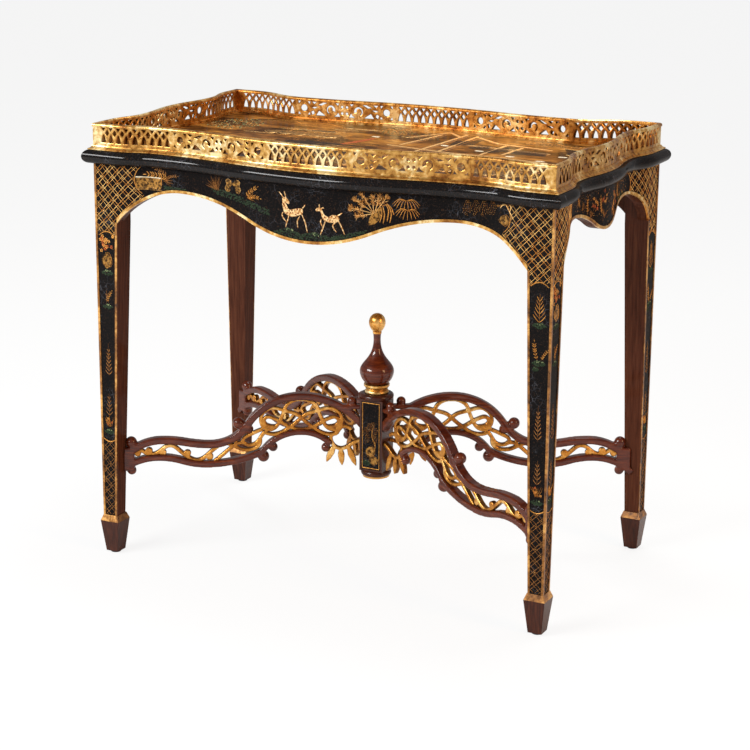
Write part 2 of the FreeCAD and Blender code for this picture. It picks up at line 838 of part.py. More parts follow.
# Straps of the scroll at the post and of the links beyond the arch, in the same shares
single_strap_shares = [
    [(-1.229, 0.136), (-1.145, 0.21), (-1.031, 0.229), (-0.939, 0.144), (-0.87, 0.017)],
    [(-0.87, 0.017), (-0.733, -0.068), (-0.756, -0.246), (-0.885, -0.39), (-1.031, -0.407), (-1.16, -0.339),
     (-1.304, -0.237), (-1.481, -0.17), (-1.6, -0.15)],
    [(0.89, 0.07), (1.01, -0.1), (1.13, -0.27), (1.31, -0.305), (1.435, -0.22)],
    [(1.45, -0.25), (1.405, -0.1), (1.28, -0.02), (1.115, 0.07), (0.96, 0.14)],
    [(1.02, -0.12), (1.06, -0.34), (1.25, -0.444), (1.466, -0.434), (1.679, -0.332), (1.939, -0.26)],
    [(1.38, -0.26), (1.588, -0.27), (1.74, -0.39), (1.939, -0.59), (2.15, -0.78)],
    [(1.536, -0.02), (1.634, -0.136), (1.59, -0.28)],
]
leaf_shares = [(-0.824, -0.31, -0.62, -0.797), (-0.968, -0.39, -1.008, -0.898), (-1.145, -0.33, -1.354, -0.915)]
leaf_outline_shares = [(0.0, 0.3), (0.4, 1.0), (0.75, 0.7), (1.0, 0.0)]
# The running vine and its buds: along over the arm's reach, up over the gap between the rails
vine_shares = [(0.61, 1.35), (0.637, 1.065), (0.667, 0.61), (0.691, 0.24), (0.721, 0.065), (0.746, 0.22),
               (0.771, 0.52), (0.795, 0.91), (0.817, 1.15), (0.84, 1.09), (0.864, 0.76), (0.894, 0.5),
               (0.923, 0.61), (0.946, 0.87), (0.968, 0.9)]
bud_shares = [(0.667, 0.33), (0.756, 0.58), (0.854, 0.62), (0.909, 0.75), (0.955, 0.6)]


def strap(points, width):
    """A flat strap of one width along a smooth open line through the points."""
    curve = Part.BSplineCurve()
    curve.interpolate([in_arm(*p) for p in points])
    count = strap_steps * (len(points) - 1)
    rows = [[], []]
    for i in range(count + 1):
        parameter = curve.FirstParameter + (curve.LastParameter - curve.FirstParameter) * i / count
        ahead = curve.tangent(parameter)[0]
        across = Vector(-ahead.z, 0, ahead.x) * (width / 2)
        rows[0].append(curve.value(parameter) + across)
        rows[1].append(curve.value(parameter) - across)
    rims = []
    for row in rows:
        rim = Part.BSplineCurve()
        rim.interpolate(row)
        rims.append(rim.toShape())
    ends = [Part.makeLine(rows[0][i], rows[1][i]) for i in (0, -1)]
    return Part.Face(Part.Wire([rims[0], ends[1], rims[1], ends[0]]))


def leaf(base, tip):
    """A pointed leaf from its base to its tip."""
    stem = in_arm(*tip) - in_arm(*base)
    across = Vector(-stem.z, 0, stem.x).normalize() * (leaf_width / 2)
    rim = [(in_arm(*base) + stem * along, across * wide) for along, wide in leaf_outline_shares]
    return polygon_face([point + side_step for point, side_step in rim]
                        + [point - side_step for point, side_step in reversed(rim[:-1])])


def make_tracery(arm):
    """The gilt tracery of one arm: interlaced straps in the arch, a running vine to the leg."""
    middle = arch_top_share * arm_reach
    half = arch_half_share * arm_reach
    tall = arch_top_height - arm_rail - arch_under_height
    vine_base = lower_neck_height + arm_lower_rail
    vine_tall = neck_height - arm_rail - vine_base

    def in_arch(u, v):
        return (middle + u * half, arch_under_height + v * tall)

    def in_vine(u, v):
        return (u * arm_reach, vine_base + v * vine_tall)

    faces = [strap([in_arch(way * u, v) for u, v in line], strap_width)
             for line in mirrored_strap_shares for way in (-1, 1)]
    faces += [strap([in_arch(u, v) for u, v in line], strap_width) for line in single_strap_shares]
    faces += [leaf(in_arch(a, b), in_arch(c, d)) for a, b, c, d in leaf_shares]
    faces.append(strap([in_vine(u, v) for u, v in vine_shares], vine_width))
    for u, v in bud_shares:
        rim = Part.makeCircle(bud_radius, in_arm(*in_vine(u, v)), Vector(0, 1, 0))
        faces.append(Part.Face(Part.Wire([rim])))
    return arm_slab(flat_union(faces), tracery_thickness).cut(arm)


def make_panels():
    """The two lacquer panels let into the front and back of the post."""
    low = post_bottom + panel_margin
    tall = post_top - panel_margin - low
    return [Part.makeBox(panel_width, panel_recess, tall, Vector(-panel_width / 2, y, low))
            for y in (-post_width / 2, post_width / 2 - panel_recess)]


def make_post():
    """A square post, recessed for its panels and bored for the finial's spigot."""
    half = post_width / 2
    post = Part.makeBox(post_width, post_width, post_top - post_bottom, Vector(-half, -half, post_bottom))
    bore = Part.makeCylinder(spigot_diameter / 2, spigot_length, Vector(0, 0, cap_top - spigot_length))
    return post.cut([bore] + make_panels())


def make_base():
    """The turned base under the post: a round shoulder over a thin rim."""
    low = post_bottom - base_height
    rim_top = low + base_rim_height
    rim = base_rim_diameter / 2
    wide = base_diameter / 2
    return turned([rz_line((0, low), (rim, low)), rz_line((rim, low), (rim, rim_top)),
                   rz_arc((rim, rim_top), (wide, (rim_top + post_bottom) / 2), (rim, post_bottom)),
                   rz_line((rim, post_bottom), (0, post_bottom)), rz_line((0, post_bottom), (0, low))])


def make_cap():
    """The turned cap ring on the post."""
    bore = spigot_diameter / 2
    wide = cap_diameter / 2
    rim = wide - cap_height / 4
    shoulder = collar_ring_diameter / 2
    return turned([rz_line((bore, post_top), (rim, post_top)),
                   rz_arc((rim, post_top), (wide, post_top + cap_height * cap_bulge_share), (shoulder, cap_top)),
                   rz_line((shoulder, cap_top), (bore, cap_top)), rz_line((bore, cap_top), (bore, post_top))])


def make_collar():
    """The gilt collar: a ring, a hollow and a flange under the bulb."""
    bore = spigot_diameter / 2
    ring = collar_ring_diameter / 2
    waist = collar_waist_diameter / 2
    flange = collar_flange_diameter / 2
    ring_top = cap_top + collar_height * collar_ring_share
    flange_low = collar_top - collar_height * collar_flange_share
    return turned([rz_line((bore, cap_top), (waist, cap_top)),
                   rz_arc((waist, cap_top), (ring, (cap_top + ring_top) / 2), (waist, ring_top)),
                   rz_line((waist, ring_top), (flange, flange_low)),
                   rz_line((flange, flange_low), (flange, collar_top)),
                   rz_line((flange, collar_top), (bore, collar_top)), rz_line((bore, collar_top), (bore, cap_top))])


# Finial outline: radius over the bulb's radius, height over the finial's height
finial_shares = [(0.58, 0.0), (0.97, 0.179), (1.0, 0.274), (0.614, 0.488), (0.336, 0.643), (0.217, 0.821),
                 (0.235, 1.0)]
# Outline of the ball above its ring: radius over the ball's radius, height over the ball's height
ball_neck_share = 0.46
egg_shares = [(0.86, 0.24), (1.0, 0.52), (0.7, 0.87)]


def make_finial():
    """The turned bulb and neck, with a spigot below and a bore for the ball's peg above."""
    high = collar_top + finial_height
    spigot = spigot_diameter / 2
    peg = ball_peg_diameter / 2
    points = [Vector(r * bulb_diameter / 2, 0, collar_top + h * finial_height) for r, h in finial_shares]
    outline = Part.BSplineCurve()
    outline.interpolate(points)
    foot = cap_top - spigot_length
    return turned([rz_line((0, foot), (spigot, foot)), rz_line((spigot, foot), (spigot, collar_top)),
                   rz_line((spigot, collar_top), (points[0].x, collar_top)), outline.toShape(),
                   rz_line((points[-1].x, high), (peg, high)), rz_line((peg, high), (peg, high - ball_peg_length)),
                   rz_line((peg, high - ball_peg_length), (0, high - ball_peg_length)),
                   rz_line((0, high - ball_peg_length), (0, foot))])


def make_finial_ball():
    """The gilt egg-shaped ball with its ring and peg."""
    low = collar_top + finial_height
    ring_top = low + ball_ring_height
    high = low + ball_height
    ring = ball_ring_diameter / 2
    peg = ball_peg_diameter / 2
    wide = ball_diameter / 2
    neck = wide * ball_neck_share
    points = [Vector(r * wide, 0, ring_top + h * (high - ring_top)) for r, h in egg_shares]
    egg = Part.BSplineCurve()
    egg.interpolate([Vector(neck, 0, ring_top)] + points + [Vector(0, 0, high)])
    return turned([rz_line((0, low - ball_peg_length), (peg, low - ball_peg_length)),
                   rz_line((peg, low - ball_peg_length), (peg, low)), rz_line((peg, low), (ring, low)),
                   rz_line((ring, low), (ring, ring_top)), rz_line((ring, ring_top), (neck, ring_top)),
                   egg.toShape(), rz_line((0, high), (0, low - ball_peg_length))])


def make_corner_block():
    """A triangular block for the front right corner, before the leg and aprons are cut from it."""
    near = lacquer_setback + apron_thickness
    far = near + block_width
    low = frame_top - block_height
    points = [(near, near), (far, near), (near, far)]
    face = polygon_face([Vector(half_width - a, -half_depth + b, low) for a, b in points])
    return face.extrude(up * block_height)


def make_screw():
    """The screw up through the front right corner block into the tray board."""
    inset = leg_top_width + screw_setback
    seat = Vector(half_width - inset, -half_depth + inset, frame_top - block_height)
    head = Part.makeCylinder(screw_head_diameter / 2, screw_head_height, seat)
    return head.fuse(Part.makeCylinder(screw_diameter / 2, screw_length, seat))


def save(name, shape):
    shape.exportStep("parts/" + name + ".step")


def save_at_corners(name, shape):
    for corner, placed in at_corners(shape).items():
        save(name + "_" + corner, placed)


def save_four(name, shape):
    save(name, Part.makeCompound(list(at_corners(shape).values())))


def save_top(screws):
    """The tray board and, on each side, its mouldings and its gallery."""
    save("tray_board", make_board().cut(screws))
    for side in sides:
        save("edge_moulding_" + side.name, side.moulding(edge_section, edge_outset, frame_top, cove_z))
        save("cove_moulding_" + side.name, side.moulding(cove_section, cove_outset, cove_z, gallery_z))
        save("gallery_rail_" + side.name, side.moulding(rail_section, rail_proud, rail_z, table_height))
        save("gallery_fret_" + side.name, make_fret(side))


def save_frame(screws):
    """The aprons, the legs with their beads and feet, and the corner blocks."""
    aprons = []
    for side in sides:
        apron, bead = make_apron(side)
        aprons.append(apron)
        save("apron_" + side.name, apron)
        save("apron_bead_" + side.name, bead)
    leg = make_leg()
    corners = at_corners(leg)
    blocks = [block.cut([corners[corner]] + aprons + screws)
              for corner, block in at_corners(make_corner_block()).items()]
    save("corner_blocks", Part.makeCompound(blocks))
    save("top_screws", Part.makeCompound(screws))
    save_at_corners("leg", leg.cut([make_tenon(front, 1), make_tenon(right, -1)] + make_arm_tenons()))
    save_at_corners("leg_beads", make_leg_beads())
    save_at_corners("foot", make_foot())
    save_four("foot_bands", make_foot_band())
    save_four("floor_glides", make_glide())


def save_stretcher():
    """The four arms with their tracery, the post and the finial."""
    arm = make_arm()
    post = make_post()
    ends = [make_leg(), post]
    tenons = make_arm_tenons()
    save_at_corners("stretcher_arm", fused([at_front_right(arm).cut(ends)] + tenons))
    save_at_corners("stretcher_tracery", at_front_right(make_tracery(arm)).cut(ends))
    mortises = [placed for tenon in tenons for placed in at_corners(tenon).values()]
    save("stretcher_post", post.cut(mortises))
    save("post_panels", Part.makeCompound(make_panels()))
    save("post_base", make_base())
    save("post_cap", make_cap())
    save("finial_collar", make_collar())
    save("finial_bulb", make_finial())
    save("finial_ball", make_finial_ball())


def main():
    os.makedirs("parts", exist_ok=True)
    screws = list(at_corners(make_screw()).values())
    save_top(screws)
    save_frame(screws)
    save_stretcher()


main()
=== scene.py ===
# %% [markdown]
# # A lacquered side table
# The table comes packed from its CAD source. This lesson dresses it: gilding, black lacquer,
# mahogany, raised gold decoration and a studio. Lengths are in metres unless a name ends in mm.

# %% Load the table
import math
import random

import bmesh
import bpy
from mathutils import Matrix, Vector
from mathutils.bvhtree import BVHTree
from mathutils.geometry import delaunay_2d_cdt


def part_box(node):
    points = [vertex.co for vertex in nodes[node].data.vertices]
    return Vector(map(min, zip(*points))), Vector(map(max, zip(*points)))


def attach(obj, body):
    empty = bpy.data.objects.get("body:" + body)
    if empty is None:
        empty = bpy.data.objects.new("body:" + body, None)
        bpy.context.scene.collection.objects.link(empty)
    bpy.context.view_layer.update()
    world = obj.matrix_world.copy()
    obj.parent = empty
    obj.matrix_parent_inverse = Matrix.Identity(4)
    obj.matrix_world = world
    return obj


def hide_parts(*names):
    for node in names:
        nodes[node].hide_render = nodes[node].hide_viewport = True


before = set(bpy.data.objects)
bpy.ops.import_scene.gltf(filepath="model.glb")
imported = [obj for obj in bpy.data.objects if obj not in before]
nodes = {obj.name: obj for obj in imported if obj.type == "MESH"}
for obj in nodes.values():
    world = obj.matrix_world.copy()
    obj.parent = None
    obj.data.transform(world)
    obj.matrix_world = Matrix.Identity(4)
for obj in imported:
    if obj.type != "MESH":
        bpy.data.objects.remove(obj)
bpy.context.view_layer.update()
print("pieces in the CAD model:", len(nodes))

# %% [markdown]
# ## Camera
# The photograph was taken with a long lens from the front right corner, a little above the top.
# Its place was worked out from the table's own corners, so the camera is set from three axes and
# not by eye. A camera looks down its own -Z, so its third column is the view direction reversed.


# %% Set the camera
def new_object(name, data):
    """A new object in the scene."""
    made = bpy.data.objects.new(name, data)
    bpy.context.scene.collection.objects.link(made)
    return made


camera = new_object("camera", bpy.data.cameras.new("camera"))
camera.data.lens = 100.12
camera.data.sensor_width = 36.0
camera.data.clip_end = 50.0
view_right = Vector((0.89319, 0.44961, 0.00754))
view_up = Vector((-0.12818, 0.23850, 0.96264))
view_back = Vector((0.43102, -0.86079, 0.27066))
turn = Matrix((view_right, view_up, view_back)).transposed()
camera.matrix_world = Matrix.Translation((1.45532, -2.91319, 1.21536)) @ turn.to_4x4()
bpy.context.scene.camera = camera
bpy.context.scene.view_settings.view_transform = "Standard"

# %% [markdown]
# ## Colours and nodes
# Paint and gilding are described by sRGB hex values, as a paint chart gives them. Blender's
# shaders work in linear light, so one function turns them over. A small class holds a material in
# the making, with a method for each kind of node that the finishes below share.


# %% Colour and node helpers
def linear(hex_colour):
    """A shader colour from an sRGB hex value."""
    parts = [int(hex_colour[i:i + 2], 16) / 255 for i in (1, 3, 5)]
    return [c / 12.92 if c <= 0.04045 else ((c + 0.055) / 1.055) ** 2.4 for c in parts] + [1.0]


def feed(tree, node, inputs):
    """Sets a node's inputs to values, or links them from sockets."""
    for name, value in inputs.items():
        if isinstance(value, bpy.types.NodeSocket):
            tree.links.new(value, node.inputs[name])
        else:
            node.inputs[name].default_value = value
    return node


def add_node(tree, kind, inputs=None, **settings):
    """A new node with its settings and inputs."""
    made = tree.nodes.new(kind)
    for name, value in settings.items():
        setattr(made, name, value)
    return feed(tree, made, inputs or {})


class Finish:
    """A material in the making: its tree, its shader and the object's own coordinates."""

    def __init__(self, name):
        self.material = bpy.data.materials.new(name)
        self.material.use_nodes = True
        self.tree = self.material.node_tree
        self.tree.nodes.clear()
        self.shader = self.add("BsdfPrincipled")
        self.output = self.add("OutputMaterial", {"Surface": self.shader.outputs[0]})
        self.coords = self.add("TexCoord").outputs["Object"]

    def add(self, kind, inputs=None, **settings):
        """A shader node of this material."""
        return add_node(self.tree, "ShaderNode" + kind, inputs, **settings)

    def shine(self, inputs):
        """Gives the shader its inputs, which finishes the material."""
        feed(self.tree, self.shader, inputs)
        return self.material

    def calc(self, operation, first, second=0.0):
        """A sum or a comparison of two values."""
        return self.add("Math", {0: first, 1: second}, operation=operation).outputs[0]

    def stretched(self, scale, vector=None, rotation=(0.0, 0.0, 0.0)):
        """Coordinates in other units along each axis."""
        vector = self.coords if vector is None else vector
        return self.add("Mapping", {"Vector": vector, "Rotation": rotation, "Scale": scale}).outputs[0]

    def noise(self, scale, detail, vector=None, distortion=0.0, output=0):
        """Cloudy noise in patches of about 1 / scale metres."""
        return self.add("TexNoise", {"Vector": self.coords if vector is None else vector, "Scale": scale,
                                     "Detail": detail, "Distortion": distortion}).outputs[output]

    def spread(self, value, low, high, start=0.0, end=1.0):
        """A value's run from low to high, laid out from start to end."""
        return self.add("MapRange", {0: value, 1: low, 2: high, 3: start, 4: end}).outputs[0]

    def mean(self, share, first, second):
        """A value between two values."""
        return self.add("Mix", {0: share, 2: first, 3: second}).outputs[0]

    def blend(self, share, first, second, how="MIX"):
        """A colour between two colours."""
        return self.add("Mix", {0: share, 6: first, 7: second}, data_type="RGBA", blend_type=how).outputs[2]

    def ramp(self, factor, *stops):
        """A colour ramp through (place, hex colour) stops."""
        made = self.add("ValToRGB", {0: factor})
        elements = made.color_ramp.elements
        while len(elements) < len(stops):
            elements.new(0.5)
        for element, (place, colour) in zip(elements, stops):
            element.position = place
            element.color = linear(colour)
        return made.outputs[0]

    def bump(self, height, strength, distance, **settings):
        """The normal of a surface that rises and falls by a distance in metres."""
        inputs = {"Height": height, "Strength": strength, "Distance": distance}
        return self.add("Bump", inputs, **settings).outputs[0]

    def faces_out(self, sign=1):
        """One on the faces that look away from the table's middle, or with sign -1 towards it."""
        place = self.add("SeparateXYZ", {0: self.coords}).outputs
        normal = self.add("NewGeometry").outputs["True Normal"]
        facing = self.add("SeparateXYZ", {0: normal}).outputs
        away = [self.calc("MULTIPLY", self.calc("MULTIPLY", self.calc("SIGN", place[k]), facing[k]), sign)
                for k in (0, 1)]
        return self.calc("GREATER_THAN", self.calc("MAXIMUM", *away), 0.6)


# %% [markdown]
# ## Floor and light
# A studio photograph of furniture is lit by large soft boxes. The floor is pale and takes the
# table's soft shadow. The camera sees a white world, while the world that lights the table and
# shows in its polish is dimmer, so that the lamps keep the lead and the lacquer stays black. The
# lamp on the right is warm, as light thrown back by a wooden wall is.

# %% Studio
pale = Finish("pale studio floor")
studio_floor = pale.shine({"Base Color": linear("#f7f7f6"), "Roughness": 0.9})
to_camera = pale.calc("MULTIPLY", pale.add("LightPath").outputs["Is Camera Ray"], 0.86)
paper_white = pale.add("Emission", {"Color": linear("#ffffff")})
mixed = pale.add("MixShader", {0: to_camera, 1: pale.shader.outputs[0], 2: paper_white.outputs[0]})
feed(pale.tree, pale.output, {"Surface": mixed.outputs[0]})
bpy.ops.mesh.primitive_plane_add(size=40.0)
floor = bpy.context.object
floor.name = "studio_floor"
floor.data.materials.append(studio_floor)

world = bpy.data.worlds.new("studio")
bpy.context.scene.world = world
world.use_nodes = True
sky = world.node_tree
sky.nodes.clear()
seen = add_node(sky, "ShaderNodeLightPath")
rays = {0: seen.outputs["Is Camera Ray"], 1: seen.outputs["Is Transmission Ray"]}
bright = add_node(sky, "ShaderNodeMath", rays, operation="MAXIMUM")
strength = add_node(sky, "ShaderNodeMapRange", {0: bright.outputs[0], 3: 0.36, 4: 1.0})
sky_light = add_node(sky, "ShaderNodeBackground",
                     {"Color": linear("#ffffff"), "Strength": strength.outputs[0]})
add_node(sky, "ShaderNodeOutputWorld", {"Surface": sky_light.outputs[0]})


def soft_box(name, place, target, size, power, colour="#ffffff"):
    """A rectangular lamp that faces a point."""
    lamp = bpy.data.lights.new(name, "AREA")
    lamp.shape = "RECTANGLE"
    lamp.size, lamp.size_y = size
    lamp.energy = power
    lamp.color = linear(colour)[:3]
    made = new_object(name, lamp)
    made.location = place
    made.rotation_euler = (Vector(target) - Vector(place)).to_track_quat("-Z", "Y").to_euler()


soft_box("key_box", (-1.7, -2.7, 1.9), (0, 0, 0.4), (1.9, 0.7), 125)
soft_box("fill_box", (2.9, -0.6, 1.5), (0, 0, 0.4), (0.7, 1.2), 34, "#ffc890")
soft_box("top_box", (0.3, 0.5, 2.6), (0, 0, 0.6), (1.2, 0.8), 34)

# %% [markdown]
# ## Water gilding
# The gallery, the beads and the carved tracery are gold leaf over red clay, called bole, rubbed and
# toned with brown wax. Leaf is metal, so it is mostly metallic. Two patterns make it: wax in broad
# cloudy zones about 50 mm wide, and thin places of about 6 mm where the clay warms the leaf. A painted
# shade in the brown of wax darkens the recesses of carving and the walls of openings, where the pieces
# below carry a number for it. On the gallery's inner faces a painted warm reflection tints the gold.


# %% Gilding
def gilding(name, bole, dark, leaf, glow, metal, relief=0.22, inner=0.0):
    """Gold leaf over bole, from its thinnest place to its brightest; painted shade in recesses, painted
    warm reflection inside.
    """
    gold = Finish(name)
    patches = gold.noise(140.0, 2.0)
    tone = gold.mean(0.36, gold.noise(22.0, 2.0), patches)
    colour = gold.ramp(tone, (0.34, bole), (0.43, dark), (0.52, leaf), (0.62, glow))
    # Painted shade: brown darkens the walls of openings and the sides of straps, by the number they carry.
    recess_shade = gold.add("Attribute", attribute_name="recess_shade").outputs["Fac"]
    toned = gold.blend(gold.calc("MULTIPLY", recess_shade, 0.8), colour, linear("#4a260c"))
    # Painted warm reflection: faces turned to the table's middle get an orange tint, by the share inner.
    shaded = gold.calc("MULTIPLY", gold.faces_out(-1), inner)
    colour = gold.blend(shaded, toned, linear("#ffca70"), "MULTIPLY")
    return gold.shine({"Base Color": colour, "Metallic": metal,
                       "Roughness": gold.spread(patches, 0.35, 0.65, 0.24, 0.38),
                       "Normal": gold.bump(patches, relief, 0.0009)})


# The gallery's last value, 0.5, is the share of painted warm reflection on its inner faces.
gallery_gold = gilding("water gilding on the gallery", "#7e4c1e", "#ac7836", "#d0a056", "#f4dea8",
                       0.8, 0.12, 0.5)
tracery_gold = gilding("water gilding on carving", "#8a5220", "#ac7028", "#c68838", "#e8ba70", 0.75, 0.03)
bead_gold = gilding("worn gilding on the beads", "#44270f", "#70471c", "#96642c", "#cc9a54", 0.5, 0.1)
line_gold = gilding("painted gold line", "#7a4a1c", "#a87430", "#c08c40", "#dcb066", 0.5)

# %% [markdown]
# ## Mahogany
# The feet, the inner faces of the legs, the rails and the finial are stained, polished mahogany.
# The grain runs up the legs, so there the noise is stretched along Z. On the stretcher it runs
# level, along the rails, and the polish is higher. The post's base has a thin gilt rim at its foot,
# which the material draws by height.


# %% Mahogany
def long_grain(finish, stops, scale):
    """Long grain: the noise that it comes from, and the colour of stained mahogany."""
    grain = finish.noise(1.0, 3.0, finish.stretched(scale), 0.3)
    return grain, finish.ramp(grain, *zip((0.24, 0.52, 0.82), stops))


def polished(name, stops, scale, gloss, rim=0.0):
    """Mahogany under a thin coat of polish, gilt below the height rim."""
    wood = Finish(name)
    grain, colour = long_grain(wood, stops, scale)
    gilt = wood.calc("LESS_THAN", wood.add("SeparateXYZ", {0: wood.coords}).outputs[2], rim)
    return wood.shine({"Base Color": wood.blend(gilt, colour, linear("#d09a50")), "Metallic": gilt,
                       "Roughness": 0.36, "IOR": 1.2, "Coat Weight": gloss, "Coat Roughness": 0.05,
                       "Normal": wood.bump(grain, 0.1, 0.0004)})


upright, level = (300.0, 300.0, 16.0), (40.0, 40.0, 320.0)
gilt_rim = 0.0027
leg_stops = ("#33190f", "#4a281b", "#5b3624")
dark_stops = ("#260f08", "#3c1a0f", "#542a18")
mahogany = polished("polished mahogany", dark_stops, upright, 0.35)
rail_stops = ("#35110a", "#501e0c", "#743617")
rail_mahogany = polished("polished mahogany along the rails", rail_stops, level, 0.55)
rimmed_mahogany = polished("polished mahogany with a gilt rim", dark_stops, upright, 0.35,
                           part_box("post_base")[0].z + gilt_rim)

# %% [markdown]
# ## Black lacquer
# Oriental lacquer is a deep black varnish. Age gives it a net of fine pale cracks and brown
# specks. All its gloss is a thin clear coat, so the base under it has an IOR near 1 and stays black
# at low angles. Cracks are cells about 9 mm across with hairline edges, which are drawn a little
# coarser than real so that they show.
#
# The legs and aprons are lacquered only on the faces that look out of the table. The rest is bare
# mahogany. A face looks out when its normal points away from the middle along X or Y, so the sign
# of the place times the normal picks the finish.


# %% Lacquer
def lacquered(name, gloss, bare=None):
    """Near black with brown specks, hairline cracks and a few scratches; bare wood on inner faces."""
    coat = Finish(name)
    warp = coat.noise(90.0, 3.0, output="Color")
    shift = coat.add("VectorMath", {0: warp, 1: (0.009, 0.009, 0.009)}, operation="MULTIPLY").outputs[0]
    bent = coat.add("VectorMath", {0: coat.coords, 1: shift}, operation="ADD").outputs[0]
    cells = coat.add("TexVoronoi", {"Vector": bent, "Scale": 120.0}, feature="DISTANCE_TO_EDGE").outputs[0]
    streaks = coat.noise(1.0, 1.0, coat.stretched((260.0, 260.0, 26.0), bent, (0.6, 0.7, 0.5)))
    marks = coat.calc("MAXIMUM", coat.spread(cells, 0.0, 0.028, 1.0, 0.0), coat.spread(streaks, 0.70, 0.76))
    marks = coat.calc("MULTIPLY", marks, coat.spread(coat.noise(30.0, 2.0), 0.50, 0.70))
    ground = coat.ramp(coat.noise(520.0, 4.0), (0.47, "#0c0b0c"), (0.60, "#171312"), (0.72, "#3e2a1c"))
    colour = coat.blend(marks, ground, linear("#585a62"))
    if bare:
        colour = coat.blend(coat.faces_out(), long_grain(coat, bare, upright)[1], colour)
    return coat.shine({"Base Color": colour, "Roughness": 0.32, "IOR": 1.05, "Coat Weight": gloss,
                       "Coat Roughness": 0.07, "Normal": coat.bump(marks, 0.25, 0.0003, invert=True)})


edge_lacquer = lacquered("black lacquer on the edge moulding", 0.32)
leg_lacquer = lacquered("black lacquer over mahogany on the frame", 0.08, leg_stops)

# %% Dark paint on the floor glides
glide = Finish("blue-grey painted glide")
glide_colour = glide.ramp(glide.noise(500.0, 3.0), (0.35, "#171a22"), (0.65, "#2c3340"))
glide_paint = glide.shine({"Base Color": glide_colour, "Roughness": 0.5})

# %% [markdown]
# ## Materials on the CAD nodes
# Every CAD node keeps its shape. Its material slots get the finishes made above.


# %% Dress the CAD nodes
def clad(mesh, material):
    """Gives a mesh one material."""
    mesh.materials.clear()
    mesh.materials.append(material)
    return mesh


finishes = {
    "tray_board": edge_lacquer, "edge_moulding": edge_lacquer, "cove_moulding": gallery_gold,
    "gallery_rail": gallery_gold, "gallery_fret": gallery_gold, "apron_bead": gallery_gold,
    "apron": leg_lacquer, "leg_beads": bead_gold, "leg": leg_lacquer, "foot_bands": bead_gold,
    "foot": mahogany, "floor_glides": glide_paint, "stretcher_arm": rail_mahogany,
    "stretcher_tracery": tracery_gold, "stretcher_post": mahogany, "post_panels": leg_lacquer,
    "post_base": rimmed_mahogany, "post_cap": mahogany, "finial_collar": gallery_gold,
    "finial_bulb": rail_mahogany, "finial_ball": tracery_gold, "corner_blocks": mahogany,
    "top_screws": line_gold,
}
for name in nodes:
    kind = max((k for k in finishes if name.startswith(k)), key=len)
    clad(nodes[name].data, finishes[kind])
print("finishes given to", len(nodes), "nodes")

# %% [markdown]
# ## Raised painting
# Oriental lacquer is decorated in raised gold: thick size is laid with a brush, and gold powder and
# colours are dusted on it. Each stroke stands about a third of a millimetre proud and catches the
# light, so it is modelled as a low ridge that follows the surface, and not only coloured. Places
# on a side are in millimetres: u runs along the side, z is the height and lift stands off it. A
# ray from outside finds the surface, so the strokes follow the curve of the aprons.

# %% Surfaces to paint on
mm = 0.001
sink = -0.12
x_way, y_way, up = Vector((1, 0, 0)), Vector((0, 1, 0)), Vector((0, 0, 1))
compass = {"front": (-y_way, x_way), "right": (x_way, y_way),
           "back": (y_way, -x_way), "left": (-x_way, -y_way)}
side_legs = {"front": ("front_left", "front_right"), "right": ("front_right", "back_right"),
             "back": ("back_right", "back_left"), "left": ("back_left", "front_left")}


def ray_tree(names):
    """One search tree over the triangles of some CAD nodes."""
    points, faces = [], []
    for name in names:
        start = len(points)
        points += [v.co for v in nodes[name].data.vertices]
        faces += [[start + i for i in p.vertices] for p in nodes[name].data.polygons]
    return BVHTree.FromPolygons(points, faces)


def looking_along(outward, along, rise, tree):
    """Turns (u, z, lift) in millimetres into a point on what a ray against outward meets."""
    def spot(u, z, lift):
        """That point, or None where the ray meets nothing."""
        start = outward + along * (u * mm) + rise * (z * mm)
        place, normal, _, _ = tree.ray_cast(start, -outward)
        if place is None:
            return None
        return place + normal * (lift * mm * (1 if normal.dot(outward) > 0 else -1))
    return spot


side_spots = {}
for side, (outward, along) in compass.items():
    tree = ray_tree(["apron_" + side] + ["leg_" + corner for corner in side_legs[side]])
    side_spots[side] = looking_along(outward, along, up, tree)
print("front apron stands at y =", round(side_spots["front"](0, 600, 0).y, 4))


# %% [markdown]
# Moss, leaves and the knots of a trellis are one small shape repeated many times. A geometry-nodes
# tree lays them: each place carries the direction that its surface faces and a size, and the tree
# turns, scales and colours a copy of the shape there. Its random numbers come from a fixed seed.


